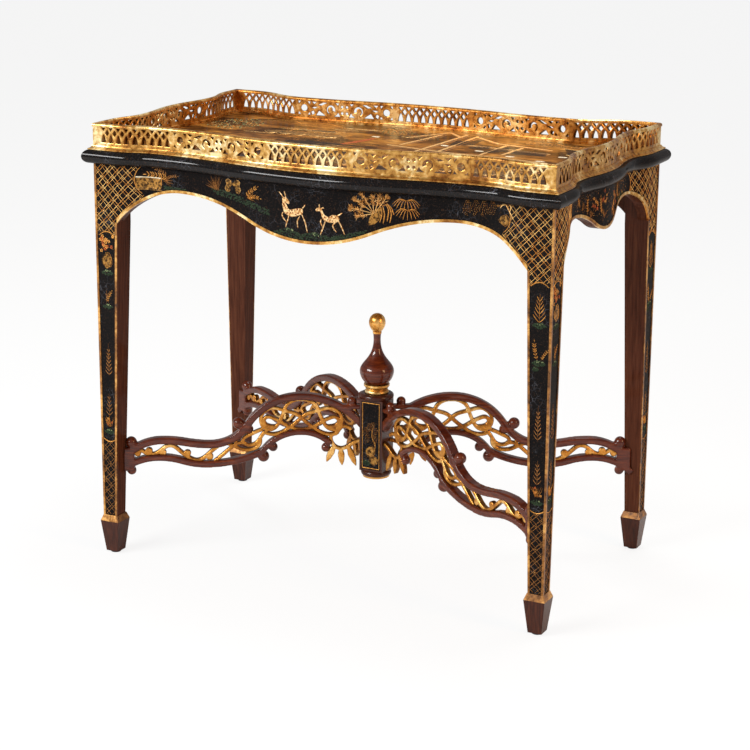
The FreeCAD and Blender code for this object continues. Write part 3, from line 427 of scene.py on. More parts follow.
# %% Scattered shapes
def scatter_nodes():
    """The tree that lays copies of one shape on places of a surface."""
    tree = bpy.data.node_groups.new("shapes on a surface", "GeometryNodeTree")
    for label, kind in (("Places", "Geometry"), ("Shape", "Object"), ("Lean", "Float"), ("Spread", "Float"),
                        ("Variation", "Float"), ("Seed", "Int"), ("Paint", "Material")):
        tree.interface.new_socket(label, in_out="INPUT", socket_type="NodeSocket" + kind)
    tree.interface.new_socket("Shapes", in_out="OUTPUT", socket_type="NodeSocketGeometry")

    def add(kind, inputs=None, **settings):
        """The outputs of a new node of this tree."""
        return add_node(tree, kind, inputs, **settings).outputs

    def within(middle, reach):
        """A random number no further than reach from the middle."""
        least, most = (add("ShaderNodeMath", {0: middle, 1: reach}, operation=way)[0]
                       for way in ("SUBTRACT", "ADD"))
        return add("FunctionNodeRandomValue", {2: least, 3: most, "Seed": given["Seed"]})[1]

    given = add("NodeGroupInput")
    facing = add("GeometryNodeInputNamedAttribute", {"Name": "facing"}, data_type="FLOAT_VECTOR")[0]
    size = add("GeometryNodeInputNamedAttribute", {"Name": "size"}, data_type="FLOAT")[0]
    aligned = add("FunctionNodeAlignRotationToVector", {"Vector": facing}, axis="Z")[0]
    shape = add("GeometryNodeObjectInfo", {"Object": given["Shape"]})["Geometry"]
    points = add("GeometryNodeMeshToPoints", {"Mesh": given["Places"]})[0]
    laid = add("GeometryNodeInstanceOnPoints",
               {"Points": points, "Instance": shape, "Rotation": aligned, "Scale": size})[0]
    angle = within(given["Lean"], given["Spread"])
    spin = add("FunctionNodeAxisAngleToRotation", {"Axis": (0, 0, 1), "Angle": angle})[0]
    turned = add("GeometryNodeRotateInstances", {"Instances": laid, "Rotation": spin})[0]
    factor = within(1.0, given["Variation"])
    scaled = add("GeometryNodeScaleInstances", {"Instances": turned, "Scale": factor})[0]
    real = add("GeometryNodeRealizeInstances", {"Geometry": scaled})[0]
    painted = add("GeometryNodeSetMaterial", {"Geometry": real, "Material": given["Paint"]})[0]
    add("NodeGroupOutput", {"Shapes": painted})
    return tree


def low_shape(name, rim, middle):
    """A low closed shape: a rim on the surface and one raised point."""
    mesh = bpy.data.meshes.new(name)
    count = len(rim)
    mesh.from_pydata([(*p, -0.06) for p in rim] + [middle], [],
                     [(i, (i + 1) % count, count) for i in range(count)] + [tuple(range(count))[::-1]])
    return new_object(name, mesh)


def set_values(mesh, name, values):
    """Gives each point of a mesh a number under a name."""
    mesh.attributes.new(name, "FLOAT", "POINT").data.foreach_set("value", values)


def circle(count):
    """Places round a circle of radius one."""
    return [(math.cos(2 * math.pi * i / count), math.sin(2 * math.pi * i / count)) for i in range(count)]


scatter_tree = scatter_nodes()
leaf_rim = [(0, 0), (0.25, -0.12), (0.6, -0.13), (1, 0), (0.6, 0.13), (0.25, 0.12)]
shapes = {"dome": low_shape("dome", circle(8), (0, 0, 0.36)),
          "leaf": low_shape("leaf", leaf_rim, (0.45, 0, 0.04))}


def scattered(places, shape, paint, seed, lean=0.0, spread=3.14, variation=0.25):
    """A mesh of copies of a shape on (place, facing, size) triples."""
    mesh = bpy.data.meshes.new("places")
    mesh.from_pydata([place for place, _, _ in places], [], [])
    mesh.attributes.new("facing", "FLOAT_VECTOR", "POINT").data.foreach_set(
        "vector", [v for _, facing, _ in places for v in facing])
    set_values(mesh, "size", [size for _, _, size in places])
    holder = new_object("places", mesh)
    layer = holder.modifiers.new("shapes", "NODES")
    layer.node_group = scatter_tree
    values = {"Shape": shapes[shape], "Lean": lean, "Spread": spread, "Variation": variation, "Seed": seed,
              "Paint": paint}
    for socket in scatter_tree.interface.items_tree:
        if socket.in_out == "INPUT" and socket.name in values:
            layer[socket.identifier] = values[socket.name]
    laid = bpy.data.meshes.new_from_object(holder.evaluated_get(bpy.context.evaluated_depsgraph_get()))
    bpy.data.objects.remove(holder)
    return laid


# %% Brush strokes
def smooth(points, step=1.5):
    """A smooth line through some points, with a point every step or so."""
    line = []
    ends = [points[0]] + list(points) + [points[-1]]
    for a, b, c, d in zip(ends, ends[1:], ends[2:], ends[3:]):
        count = max(1, round(math.dist(b, c) / step))
        for i in range(count):
            t = i / count
            line.append(tuple(0.5 * (2 * q + (r - p) * t + (2 * p - 5 * q + 4 * r - s) * t * t
                                     + (3 * q - p - 3 * r + s) * t ** 3) for p, q, r, s in zip(a, b, c, d)))
    return line + [tuple(points[-1])]


def add_piece(name, mesh, slot, *replaced):
    """A mesh as a piece of the table, and the CAD nodes it stands for."""
    mesh.name = name
    piece = new_object(name, mesh)
    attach(piece, "root")
    if replaced:
        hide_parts(*replaced)
    print(name, "has", len(mesh.polygons), "faces")


dice = random.Random()
vary = dice.uniform


class Painting:
    """Strokes and patches on one surface, gathered into one thin mesh."""

    def __init__(self, name, spot, paints):
        self.name = name
        self.spot = spot
        self.paints = paints
        self.points = []
        self.faces = []
        self.shades = []
        self.scatter = {}

    def dab(self, u, z, size, paint, shape="dome", lift=0.0, **turning):
        """One small scattered shape; size in millimetres."""
        here, above = self.spot(u, z, lift), self.spot(u, z, lift + 1.0)
        if here and above:
            key = (shape, paint, tuple(sorted(turning.items())))
            self.scatter.setdefault(key, []).append((here, (above - here).normalized(), size * mm))

    def add(self, places):
        """The numbers of new points, or None where the surface ends."""
        found = [self.spot(*place) for place in places]
        if None in found:
            return None
        self.points += found
        return range(len(self.points) - len(found), len(self.points))

    def face(self, corners, paint):
        """One face and its paint."""
        self.faces.append(corners)
        self.shades.append(list(self.paints).index(paint))

    def stroke(self, path, width, paint="gold", rise=0.35, tips=0.3):
        """A ridge along a path, as wide as width in its middle and tips times that at its ends."""
        last = None
        count = len(path) - 1
        for i, (u, z) in enumerate(path):
            before, after = path[max(i - 1, 0)], path[min(i + 1, count)]
            size = math.dist(before, after) or 1.0
            half = width / 2 * (tips + (1 - tips) * max(0.0, math.sin(math.pi * i / count)) ** 0.6)
            a, b = (before[1] - after[1]) / size * half, (after[0] - before[0]) / size * half
            ring = self.add([(u + a, z + b, sink), (u, z, rise), (u - a, z - b, sink)])
            if ring and last:
                for p, q in ((0, 1), (1, 2), (2, 0)):
                    self.face([last[p], last[q], ring[q], ring[p]], paint)
            elif ring:
                self.face([ring[0], ring[2], ring[1]], paint)
            elif last:
                self.face([last[0], last[1], last[2]], paint)
            last = ring
        if last:
            self.face([last[0], last[1], last[2]], paint)

    def curve(self, points, *look):
        """A stroke along the smooth line through some points."""
        self.stroke(smooth(points), *look)

    def patch(self, outline, paint, rise, edge=0.6, grid=3.5):
        """A low mound inside an outline, with a sloping edge."""
        area = sum(p[0] * q[1] - q[0] * p[1] for p, q in zip(outline, outline[1:] + outline[:1]))
        outline = outline if area > 0 else outline[::-1]
        middle = [sum(p[k] for p in outline) / len(outline) for k in (0, 1)]
        inner = []
        for p in outline:
            keep = 1 - min(0.5, edge / (math.dist(p, middle) + 0.01))
            inner.append([m + (v - m) * keep for v, m in zip(p, middle)])
        count = len(outline)
        seeds = []
        left, low = (min(p[k] for p in inner) for k in (0, 1))
        right, high = (max(p[k] for p in inner) for k in (0, 1))
        for i in range(1, int((right - left) / grid) + 1):
            for j in range(1, int((high - low) / grid) + 1):
                seeds.append(Vector((left + i * grid, low + j * grid)))
        seeds = [s for s in seeds if inside(s, inner)]
        flat = [Vector(p) for p in inner] + seeds
        found, _, faces, origin, _, _ = delaunay_2d_cdt(flat, [], [list(range(count))], 1, 1e-4)
        rim = self.add([(*p, sink) for p in outline])
        top = self.add([(*p, rise) for p in found])
        floor = self.add([(*p, sink) for p in found])
        if not rim or not top or not floor:
            return
        order = {}
        for number, sources in enumerate(origin):
            for source in sources:
                order[source] = number
        for i in range(count):
            j = (i + 1) % count
            a, b = order[i], order[j]
            self.face([rim[i], rim[j], top[b], top[a]], paint)
            self.face([rim[j], rim[i], floor[a], floor[b]], paint)
        for corners in faces:
            turn = area_sign([found[c] for c in corners])
            self.face([top[c] for c in corners[::turn]], paint)
            self.face([floor[c] for c in corners[::-turn]], paint)

    def finish(self, slot):
        """The mesh as a piece of the table."""
        mesh = bpy.data.meshes.new(self.name)
        mesh.from_pydata(self.points, [], [list(f) for f in self.faces])
        for material in self.paints.values():
            mesh.materials.append(material)
        mesh.polygons.foreach_set("material_index", self.shades)
        mesh.validate()
        work = bmesh.new()
        work.from_mesh(mesh)
        for number, ((shape, paint, turning), places) in enumerate(self.scatter.items()):
            done = len(work.faces)
            work.from_mesh(scattered(places, shape, self.paints[paint], number, **dict(turning)))
            work.faces.ensure_lookup_table()
            for face in work.faces[done:]:
                face.material_index = list(self.paints).index(paint)
        work.to_mesh(mesh)
        work.free()
        add_piece(self.name, mesh, slot)


def ring(u, z, across, tall, count, rough):
    """An uneven closed outline."""
    points = []
    for a, b in circle(count):
        size = 1 + vary(-rough, rough)
        points.append((u + across / 2 * size * a, z + tall / 2 * size * b))
    return points


def placed(points, u, z, wide=1.0, tall=1.0):
    """Points drawn round zero, set at a place and stretched."""
    return [(u + a * wide, z + b * tall) for a, b in points]


def inside(place, outline):
    """Whether a place lies inside an outline."""
    odd = False
    for (a, b), (c, d) in zip(outline, outline[1:] + outline[:1]):
        if (b > place[1]) != (d > place[1]) and place[0] < a + (c - a) * (place[1] - b) / (d - b):
            odd = not odd
    return odd


def area_sign(corners):
    """1 where a triangle runs anticlockwise, -1 where it runs clockwise."""
    (a, b), (c, d), (e, f) = corners
    return 1 if (c - a) * (f - b) - (e - a) * (d - b) > 0 else -1


# %% [markdown]
# The paints are gold powder in several tones, two greens for the mounds and leaves, and coral,
# red-brown, black and cream for small touches. Powder gilding is softer than leaf: part metal, part
# matt.


# %% Paints
def powder(name, low, high, metal, rough, grain=700.0, spread=0.13):
    """A dusted paint: two tones in speckles of about 1 / grain metres."""
    paint = Finish(name)
    speckle = paint.noise(grain, 3.0)
    colour = paint.ramp(speckle, (0.5 - spread, low), (0.5 + spread, high))
    return paint.shine({"Base Color": colour, "Metallic": metal, "Roughness": rough, "IOR": 1.2,
                        "Normal": paint.bump(speckle, 0.3, 0.0003)})


paints = {
    "gold": powder("gold powder", "#96602a", "#dc9e4c", 0.4, 0.42),
    "bright": powder("bright gold powder", "#b98544", "#eec888", 0.4, 0.38),
    "line": powder("gold lines of the trellis", "#cc8638", "#ffce7c", 0.25, 0.4, 120.0, 0.10),
    "hide": powder("shaded gold on the deer", "#a8743c", "#eac792", 0.3, 0.42, 300.0, 0.10),
    "wash": powder("gold wash on the wall", "#3a2612", "#a07438", 0.4, 0.42, 260.0, 0.08),
    "tan": powder("tan gold powder", "#6a4420", "#b07a44", 0.25, 0.5),
    "green": powder("dull green paint", "#10190f", "#2c3c26", 0.0, 0.55),
    "pale": powder("pale lime paint", "#46553a", "#8f9a6c", 0.0, 0.55),
    "coral": powder("coral paint", "#7a3418", "#c0602c", 0.1, 0.5),
    "spot": powder("red-brown paint", "#3c140a", "#702810", 0.0, 0.5),
    "ink": powder("brown-black paint", "#0e0a08", "#241710", 0.0, 0.45),
    "cream": powder("cream paint", "#b8a888", "#f2ead2", 0.0, 0.45),
}

# %% [markdown]
# ## Trellis on the legs and corners
# Pairs of thin gold lines cross at 45 degrees and leave black diamonds 18 mm apart. Each line is
# laid by a loop and cut off where the black panels and the border of the landscape begin.

# %% Trellis
frame_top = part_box("leg_front_right")[1].z / mm
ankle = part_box("foot_bands")[1].z / mm
ankle_width, knee_width, knee = 25.3, 40.0, 552.0
panel_top, panel_low, panel_rise, panel_half = 533.5, 199.0, 6.5, 14.0
border_radius, border_z = 25.7, 626.5
lattice_z, darker_below_z = 400.0, 440
diamond = 18.2
pair_lines = {-2.2: 0.9, 2.2: 0.9}
leg_proud = 1.0
half_spans = {"front": 387.5, "right": 219.5, "back": 387.5, "left": 219.5}
border_insets = {"front": 96.5, "right": 121.5, "back": 96.5, "left": 121.5}


def leg_width_at(z):
    """How far the leg's face reaches in from the frame's corner at a height."""
    share = min(1.0, max(0.0, (z - ankle) / (knee - ankle)))
    return ankle_width + (knee_width - ankle_width) * share


def panel_middle(side, z):
    """The middle of a leg's lacquer face, as a distance from the side's middle."""
    return half_spans[side] + leg_proud - (leg_width_at(z) + leg_proud) / 2


def border_middle(side):
    """Where the round border between trellis and landscape has its centre."""
    return half_spans[side] + leg_proud - border_insets[side]


def in_trellis(side, u, z):
    """Whether the trellis covers a place on a side."""
    reach = half_spans[side] + leg_proud - abs(u)
    if reach < leg_proud or z > frame_top - 0.5 or z < ankle:
        return False
    if reach < knee_width:
        if reach > leg_width_at(z):
            return False
        across = (abs(u) - panel_middle(side, z)) / panel_half
        bow = panel_rise * (1 - across * across)
        return z > panel_top + bow or z < panel_low - bow
    middle = border_middle(side)
    return abs(u) > middle and math.dist((abs(u), z), (middle, border_z)) > border_radius + 0.8


def shade(run):
    """The lines take a darker paint low on the legs, below a set height."""
    return "line" if run[0][1] > darker_below_z else "tan"


def trellis(draw, side):
    """The lines of both directions on one side."""
    pitch = diamond / math.sqrt(2)
    step, steps, lines = 3.0, 240, 80
    for way in (1, -1):
        for number in range(-lines, lines):
            for offset, width in pair_lines.items():
                run = []
                place = number * pitch + offset
                for i in range(-steps, steps + 1):
                    along = i * step
                    u = (along + place) / math.sqrt(2)
                    z = (along - place) / math.sqrt(2) * way + lattice_z
                    wander = 0.18 * math.sin(along * 0.21 + number * 1.7 + offset)
                    if i < steps and abs(u) < half_spans[side] and in_trellis(side, u, z):
                        run.append((u + wander, z + wander * way))
                        continue
                    if len(run) > 1:
                        draw.stroke(run, width * vary(0.85, 1.15), shade(run), 0.25, 0.9)
                    run = []


def crossings(draw, side):
    """Brighter dabs where two pairs of lines cross."""
    half = diamond / 2
    for i in range(-60, 60):
        for j in range(10, 90):
            u, z = i * half, lattice_z % half + j * half
            even = (i + round((z - lattice_z) / half)) % 2 == 0
            if even and in_trellis(side, u, z) and abs(u) < half_spans[side]:
                draw.dab(u, z, vary(0.5, 0.9), "bright" if z > darker_below_z else "gold")


def borders(draw, side):
    """The gold lines round the leg panels and at the ends of the landscape."""
    for way in (-1, 1):
        for base, bow in ((panel_top, panel_rise), (panel_low, -panel_rise)):
            middle = panel_middle(side, base)
            draw.stroke([(way * (middle + x), base + bow * (1 - (x / panel_half) ** 2))
                         for x in range(-int(panel_half), int(panel_half) + 1, 2)], 1.7, "gold", 0.45, 0.9)
        arc = [(way * (border_middle(side) + border_radius * math.cos(a / 20)),
                border_z + border_radius * math.sin(a / 20)) for a in range(-20, 21)]
        draw.stroke([p for p in arc if p[1] < frame_top - 1], 1.5, "gold", 0.45, 0.9)


for side in compass:
    draw = Painting("trellis_" + side, side_spots[side],
                    {kind: paints[kind] for kind in ("gold", "bright", "line", "tan")})
    dice.seed(5)
    trellis(draw, side)
    dice.seed(6)
    crossings(draw, side)
    borders(draw, side)
    draw.finish("leg_lacquer")

# %% [markdown]
# ## Motifs of the landscape
# The decorator works from a stock of motifs: plume, leafy branch, fan palm, willow, pierced rock,
# green mound, grass and deer. Each is a few strokes from a root (u, z) at a size in millimetres,
# so one function draws it wherever it stands.


# %% Plants
def bent_line(u, z, length, angle, droop, count=6):
    """A line from a root that leaves at an angle and droops by that many degrees along its way."""
    points = [(u, z)]
    for i in range(count):
        heading = math.radians(angle - droop * i / count)
        u += length / count * math.cos(heading)
        z += length / count * math.sin(heading)
        points.append((u, z))
    return points


def plume(draw, u, z, size, paint="gold", rows=6, reach=0.34):
    """Pairs of thin upright leaves along a stem, longest at the foot."""
    for i in range(rows):
        share = i / (rows - 1)
        length = size * reach * (1 - 0.42 * share)
        for way in (-1, 1):
            root, angle = z + size * (0.03 + 0.70 * share), 90 - way * (50 - 14 * share)
            leaf = bent_line(u, root, length, angle, way * -24, 3)
            draw.curve(leaf, 1.0 + size * 0.012, "tan" if i % 3 == 1 else paint, 0.3, 0.25)
    draw.stroke([(u, z), (u, z + size * 0.5), (u, z + size)], 1.1, paint)


def leafy_branch(draw, u, z, size, angle, paint="gold", leaves=7, lean=18.0):
    """A stem with pairs of small pointed leaves."""
    stem = smooth(bent_line(u, z, size, angle, lean))
    draw.stroke(stem, 0.7, paint)
    for i in range(leaves):
        root = stem[int((len(stem) - 1) * (i + 1.2) / (leaves + 1.2))]
        for way in (-1, 1):
            heading = angle - lean * i / leaves + way * 52
            leaf = bent_line(*root, size * 0.17, heading, way * 20, 3)
            draw.curve(leaf, size * 0.026 + 0.9, paint, 0.3, 0.15)
    draw.stroke(bent_line(*stem[-1], size * 0.16, angle - lean, 0, 2), size * 0.03 + 0.7, paint, 0.3, 0.15)


def fan_palm(draw, u, z, size, paint="gold", blades=13):
    """Blades that spring from a crown and droop all round it."""
    for i in range(blades):
        share = i / (blades - 1) * 2 - 1
        tip = (u + size * math.sin(share * 1.45), z - size * (0.72 * math.cos(share * 1.2) + 0.05))
        knee = (u + (tip[0] - u) * 0.5, z + size * 0.1 * abs(share) ** 0.5 - size * 0.2 * (1 - abs(share)))
        draw.stroke(smooth([(u, z), knee, tip], 1.0), 1.15, paint, 0.32, 0.3)


def willow(draw, u, z, size, paint="gold"):
    """Strands that hang close together, with short leaves on both sides."""
    for k in (-3, -1, 1, 3):
        fall = size * (1.1 - 0.08 * abs(k)) * vary(0.8, 1.0)
        strand = smooth([(u + k * 0.6, z), (u + k * size * 0.07 - 0.5, z - fall * 0.5),
                         (u + k * size * 0.065 - 3 + vary(-0.8, 0.8), z - fall)])
        draw.stroke(strand, 0.5, "tan")
        for i, root in enumerate(strand[1::2]):
            leaf = bent_line(*root, vary(1.8, 2.8), -90 + (i % 2 * 2 - 1) * vary(20, 55), 0, 2)
            draw.stroke(leaf, 0.8, dice.choice((paint, paint, "tan", "bright")), 0.3, 0.25)


def feathery_tree(draw, u, z, size):
    """Forked bright branches with clusters of small pointed leaves at their ends."""
    for angle, reach in ((192, 1.1), (168, 1.6), (142, 1.5), (122, 1.5), (96, 1.1), (68, 1.2), (50, 1.4)):
        branch = smooth(bent_line(u, z, size * reach * 0.72, angle, vary(-16, 16)))
        draw.stroke(branch, 1.5, "bright", 0.4, 0.5)
        for root in branch[len(branch) // 2::2] + [branch[-1]] * 3:
            for _ in range(5):
                leaf = bent_line(root[0] + vary(-2.5, 2.5), root[1] + vary(-2.5, 2.5),
                                 size * vary(0.12, 0.19), angle + vary(-75, 75), 0, 2)
                draw.stroke(leaf, vary(0.9, 1.5), dice.choice(["gold", "gold", "tan", "bright"]), 0.35, 0.3)


def shrub(draw, u, z, size, paint="tan", low=25.0, high=155.0, count=26):
    """A brushy clump of fine twigs."""
    for _ in range(count):
        twig = bent_line(u + vary(-0.2, 0.2) * size, z, size * vary(0.5, 1.0), vary(low, high),
                         vary(-30, 30), 4)
        draw.curve(twig, 0.6, paint, 0.25)


def grass(draw, u, z, size):
    """A tuft of a few blades."""
    for _ in range(7):
        blade = bent_line(u + vary(-2, 2), z, size * vary(0.6, 1.0), vary(25, 120), vary(-30, 40), 4)
        draw.curve(blade, 0.7, "tan", 0.28)


def blossoms(draw, u, z, size, count=7):
    """Small flowers of five dabs in gold and coral, with leaves between them."""
    for i in range(count):
        a, b = u + vary(-0.5, 0.5) * size, z + vary(-0.5, 0.5) * size
        petal = size * 0.035 + 0.35
        for k in range(5):
            turn = math.radians(k * 72 + i * 20)
            draw.dab(a + 1.5 * petal * math.cos(turn), b + 1.5 * petal * math.sin(turn), petal,
                     "coral" if i % 3 == 0 else "gold")
        draw.dab(a, b, petal * 0.6, "spot")
        draw.stroke(bent_line(a, b, size * 0.26, vary(0, 360), 30, 3), 0.9, "tan", 0.25)


# %% Rocks, mounds and walls
def mound(draw, u, z, across, tall):
    """Many small rounded lobes of moss heaped under a bow, paler on top."""
    for _ in range(max(12, round(across * tall / 2))):
        a = vary(-0.5, 0.5)
        b = (0.5 - 2 * a * a) * vary(-0.9, 1.0)
        top = b > 0.25 and dice.random() < 0.3
        draw.dab(u + a * across, z + b * tall, vary(0.9, 1.7), "pale" if top else "green")


def rock(draw, u, z, across, tall, rim="gold"):
    """A garden rock: a washed ground and uneven outlines one inside the other."""
    draw.patch(ring(u, z + tall / 2, across, tall, 16, 0.12), "wash", 0.22)
    for share in (0.95, 0.65, 0.35):
        line = ring(u + 0.1 * across * (1 - share), z + tall * (0.4 + 0.1 * share), across * share,
                    tall * share, 9, 0.2)
        draw.curve(line + line[:1], 0.9, rim if share > 0.5 else "bright", 0.45, 0.8)
        draw.curve(line[2:6], 1.0, "ink", 0.5, 0.3)


rock_shoulder = [(0, 2), (1, 12), (8, 24), (18, 31), (21, 24), (17, 12), (8, 3)]
rock_folds = ([(18, 30), (20, 20), (17, 8)], [(21, 32), (24, 20), (22, 6)], [(26, 35), (30, 26), (28, 10)],
              [(27, 36), (34, 30), (38, 20)], [(22, 33), (29, 34), (34, 22), (32, 8)],
              [(15, 27), (10, 20), (4, 9)])


def garden_rock(draw, u, z):
    """A tall rock: a mottled shoulder on the left, pale folds that hang like fingers on the right."""
    draw.patch(smooth(placed(rock_shoulder, u, z), 2.0), "wash", 0.25, 1.0)
    for fold in rock_folds:
        line = placed(fold, u, z)
        draw.curve(placed(line, -1.3, 0), 1.0, "ink", 0.3, 0.5)
        draw.curve(line, 2.0, "gold", 0.42, 0.5)
        draw.curve(placed(line[:2], 0.4, 0.6), 0.9, "bright", 0.6, 0.4)


def pierced_rock(draw, u, z, across, tall):
    """A rock worn into an arch: two mottled pillars with bright rims that meet at the top."""
    pillar = [(0.5, 0), (0.62, 0.3), (0.5, 0.6), (0.56, 0.88), (0.3, 1.02), (0, 0.72), (0, 0.55),
              (0.17, 0.5), (0.2, 0.2), (0.3, 0)]
    for wide in (-across, across):
        outline = smooth(placed(pillar, u, z, wide, tall), 1.2)
        draw.patch(outline, "wash", 0.3, 1.0)
        draw.stroke(outline[:len(outline) // 2], 0.9, "bright", 0.5, 0.6)
        draw.curve([(u + 0.36 * wide, z + 2), (u + 0.4 * wide, z + tall * 0.6)], 1.1, "ink", 0.45)
        draw.curve(placed([(0.28, 0.5), (0.34, 0.9)], u, z, wide, tall), 0.8, "tan", 0.45)


def garden_wall(draw, left, right, low, high):
    """A bordered wall with a pale coping, a gold-washed face and a post at its end."""
    draw.patch([(left, low), (right, low), (right, high), (left, high)], "wash", 0.2, 0.8)
    for _ in range(70):
        a = left + (right - left) * vary(0.05, 0.95)
        b = low + (high - low) * vary(0.1, 0.9)
        fleck = bent_line(a, b, 3.2, vary(0, 70), 0, 2)
        draw.stroke(fleck, 0.8, dice.choice(["ink", "tan", "bright"]), 0.3)
    draw.stroke([(left, high), ((left + right) / 2, high), (right, high)], 2.2, "cream", 0.5, 0.9)
    draw.stroke([(left, low), ((left + right) / 2, low), (right, low)], 1.2, "bright", 0.4, 0.9)
    draw.stroke([(right, low - 2), (right, (low + high) / 2), (right, high + 4)], 2.2, "gold", 0.55, 0.9)


# %% [markdown]
# The two deer are small reliefs of their own: a body with its neck, a head, two ears, a tail and
# four legs, with brown spots. Their places are in millimetres from the first one's forefoot.

# %% Deer
deer_squat = 0.93
buck = {
    "body": [(-4.0, 24.1), (0.9, 19.2), (11.5, 16.5), (23.9, 20.5), (29.2, 24.0), (29.6, 29.8),
             (25.7, 32.2), (15.9, 30.4), (7.1, 28.1), (4.0, 29.3), (1.8, 34.2), (-1.8, 39.1),
             (-6.4, 38.2), (-5.1, 29.9)],
    "head": [(-6.2, 37.8), (-6.4, 44.0), (-4.4, 47.4), (0.9, 46.9), (6.4, 41.0), (5.8, 37.0), (2.5, 37.4),
             (-0.9, 39.0)],
    "ears": [[(-4.2, 46.2), (-8.0, 51.1), (-11.9, 55.4)], [(0.2, 47.1), (-1.1, 52.1), (-2.8, 57.0)],
             [(28.3, 31.9), (30.5, 34.4), (33.4, 38.7)]],
    "legs": [[(-4.0, 23.2), (-6.6, 19.4), (-4.9, 13.9), (-0.2, 8.7)], [(5.3, 19.3), (3.7, 11.8),
             (1.8, 6.7), (-0.2, -0.4)], [(27.4, 23.1), (31.4, 14.5), (34.1, 7.4), (36.7, -4.6)],
             [(24.1, 18.9), (20.5, 12.1), (20.2, 7.1), (20.8, 1.1)]],
    "spots": [(5.3, 25.8), (10.6, 27.6), (15.5, 28.5), (20.4, 29.9), (25.0, 29.3), (8.0, 23.3),
              (13.3, 24.3), (21.9, 24.1), (2.7, 21.6), (17.7, 20.4), (-1.8, 34.1), (-0.7, 31.2),
              (2.2, 28.8), (-4.0, 35.7)]}
fawn = {
    "body": [(59.3, 24.7), (61.1, 17.2), (64.6, 12.7), (74.3, 9.6), (85.8, 11.5), (89.8, 16.6),
             (86.7, 21.5), (79.2, 23.0), (72.6, 19.0), (66.4, 21.1), (62.8, 24.8), (61.1, 29.7),
             (57.1, 29.2)],
    "head": [(50.3, 28.8), (53.5, 32.0), (57.7, 32.6), (61.1, 31.4), (60.6, 28.0), (56.6, 26.7),
             (52.2, 26.3)],
    "ears": [[(58.4, 30.9), (57.1, 34.6), (57.3, 38.4)], [(59.7, 30.5), (62.4, 32.7), (65.0, 31.9)],
             [(85.8, 21.5), (89.8, 24.1), (94.2, 27.3)]],
    "legs": [[(60.6, 14.7), (59.1, 10.5), (60.2, 6.4), (62.1, 3.1)], [(66.8, 11.9), (64.4, 4.0),
             (62.4, -1.9), (58.8, -10.8)], [(87.2, 15.3), (91.2, 8.7), (94.2, 2.1), (97.5, -5.7)],
             [(83.4, 11.5), (79.2, 6.0), (80.7, 1.0), (84.2, -3.5)]],
    "spots": [(72.6, 17.5), (77.0, 20.5), (70.8, 14.9), (75.2, 14.9), (81.4, 17.3), (66.8, 17.8),
              (78.8, 13.4), (84.1, 19.4)]}


def deer(draw, u, z, shape):
    """One deer, from its outlines."""
    def at(places):
        return placed(places, u, z, 1.0, deer_squat)

    for line in shape["legs"]:
        draw.stroke(smooth(at(line), 1.0), 2.5, "hide", 0.35, 0.5)
        draw.stroke(at([line[-1], (line[-1][0] + 0.5, line[-1][1] - 1.6)]), 2.0, "tan", 0.4, 0.8)
    for line in shape["ears"]:
        draw.stroke(smooth(at(line), 1.0), 2.2, "hide", 0.35, 0.4)
    draw.patch(smooth(at(shape["body"] + shape["body"][:1]), 1.6)[:-1], "hide", 0.45, 1.4, 2.5)
    draw.patch(smooth(at(shape["head"] + shape["head"][:1]), 1.4)[:-1], "hide", 0.55, 1.0)
    belly = at(shape["body"][:5])
    draw.curve(placed(belly, 0.4, 1.0), 1.1, "tan", 0.55, 0.3)
    for place in at(shape["spots"]):
        for _ in range(2):
            draw.dab(place[0] + vary(-0.9, 0.9), place[1] + vary(-0.9, 0.9),
                     vary(0.8, 1.25), "spot", lift=0.45)
    eye = at([shape["head"][2 if shape is buck else 1]])[0]
    draw.dab(eye[0], eye[1] - 2.0, 0.6, "ink", lift=0.5)


# %% [markdown]
# ## Landscape on the aprons
# The ground line follows the bead on the apron's lower edge. The front shows a walled garden,
# rocks, two deer, a tree with fan palms and a willow. The sides carry sprays of flowers. The back
# isn't seen in the photograph and carries a quieter run of the same motifs.

# %% Ground line
bead_lines = {}
for side, (outward, along) in compass.items():
    bead = [v.co for v in nodes["apron_bead_" + side].data.vertices]
    bead_lines[side] = {}
    for u in range(-340, 341, 4):
        found = [p.z for p in bead if abs(p.dot(along) - u * mm) < 6 * mm]
        if found:
            bead_lines[side][u] = max(found) / mm


def ground(side, u):
    """The height of the top of the apron's bead at a place."""
    known = bead_lines[side]
    return known[min(known, key=lambda k: abs(k - u))]


print("front ground line is lowest at z =", round(ground("front", 0)), "mm")


# %% Front landscape
def turf(draw, side, left, right, tall):
    """A run of green mounds along the ground line, with grass in it."""
    for u in range(left, right, 10):
        mound(draw, u, ground(side, u) + tall * 0.3, 16, tall)
        if dice.random() < 0.5:
            grass(draw, u, ground(side, u) + 1, 7.0)


def bank(draw, side, line, deep, paint="green"):
    """Moss on a slope, densest just below its upper line."""
    for (a, b), (c, d) in zip(line, line[1:]):
        for _ in range(round((c - a) * deep / 4)):
            t = dice.random()
            u, z = a + (c - a) * t, b + (d - b) * t - deep * dice.random() ** 1.4
            draw.dab(u, max(z, ground(side, u) + 2.0), vary(0.8, 1.7), paint)


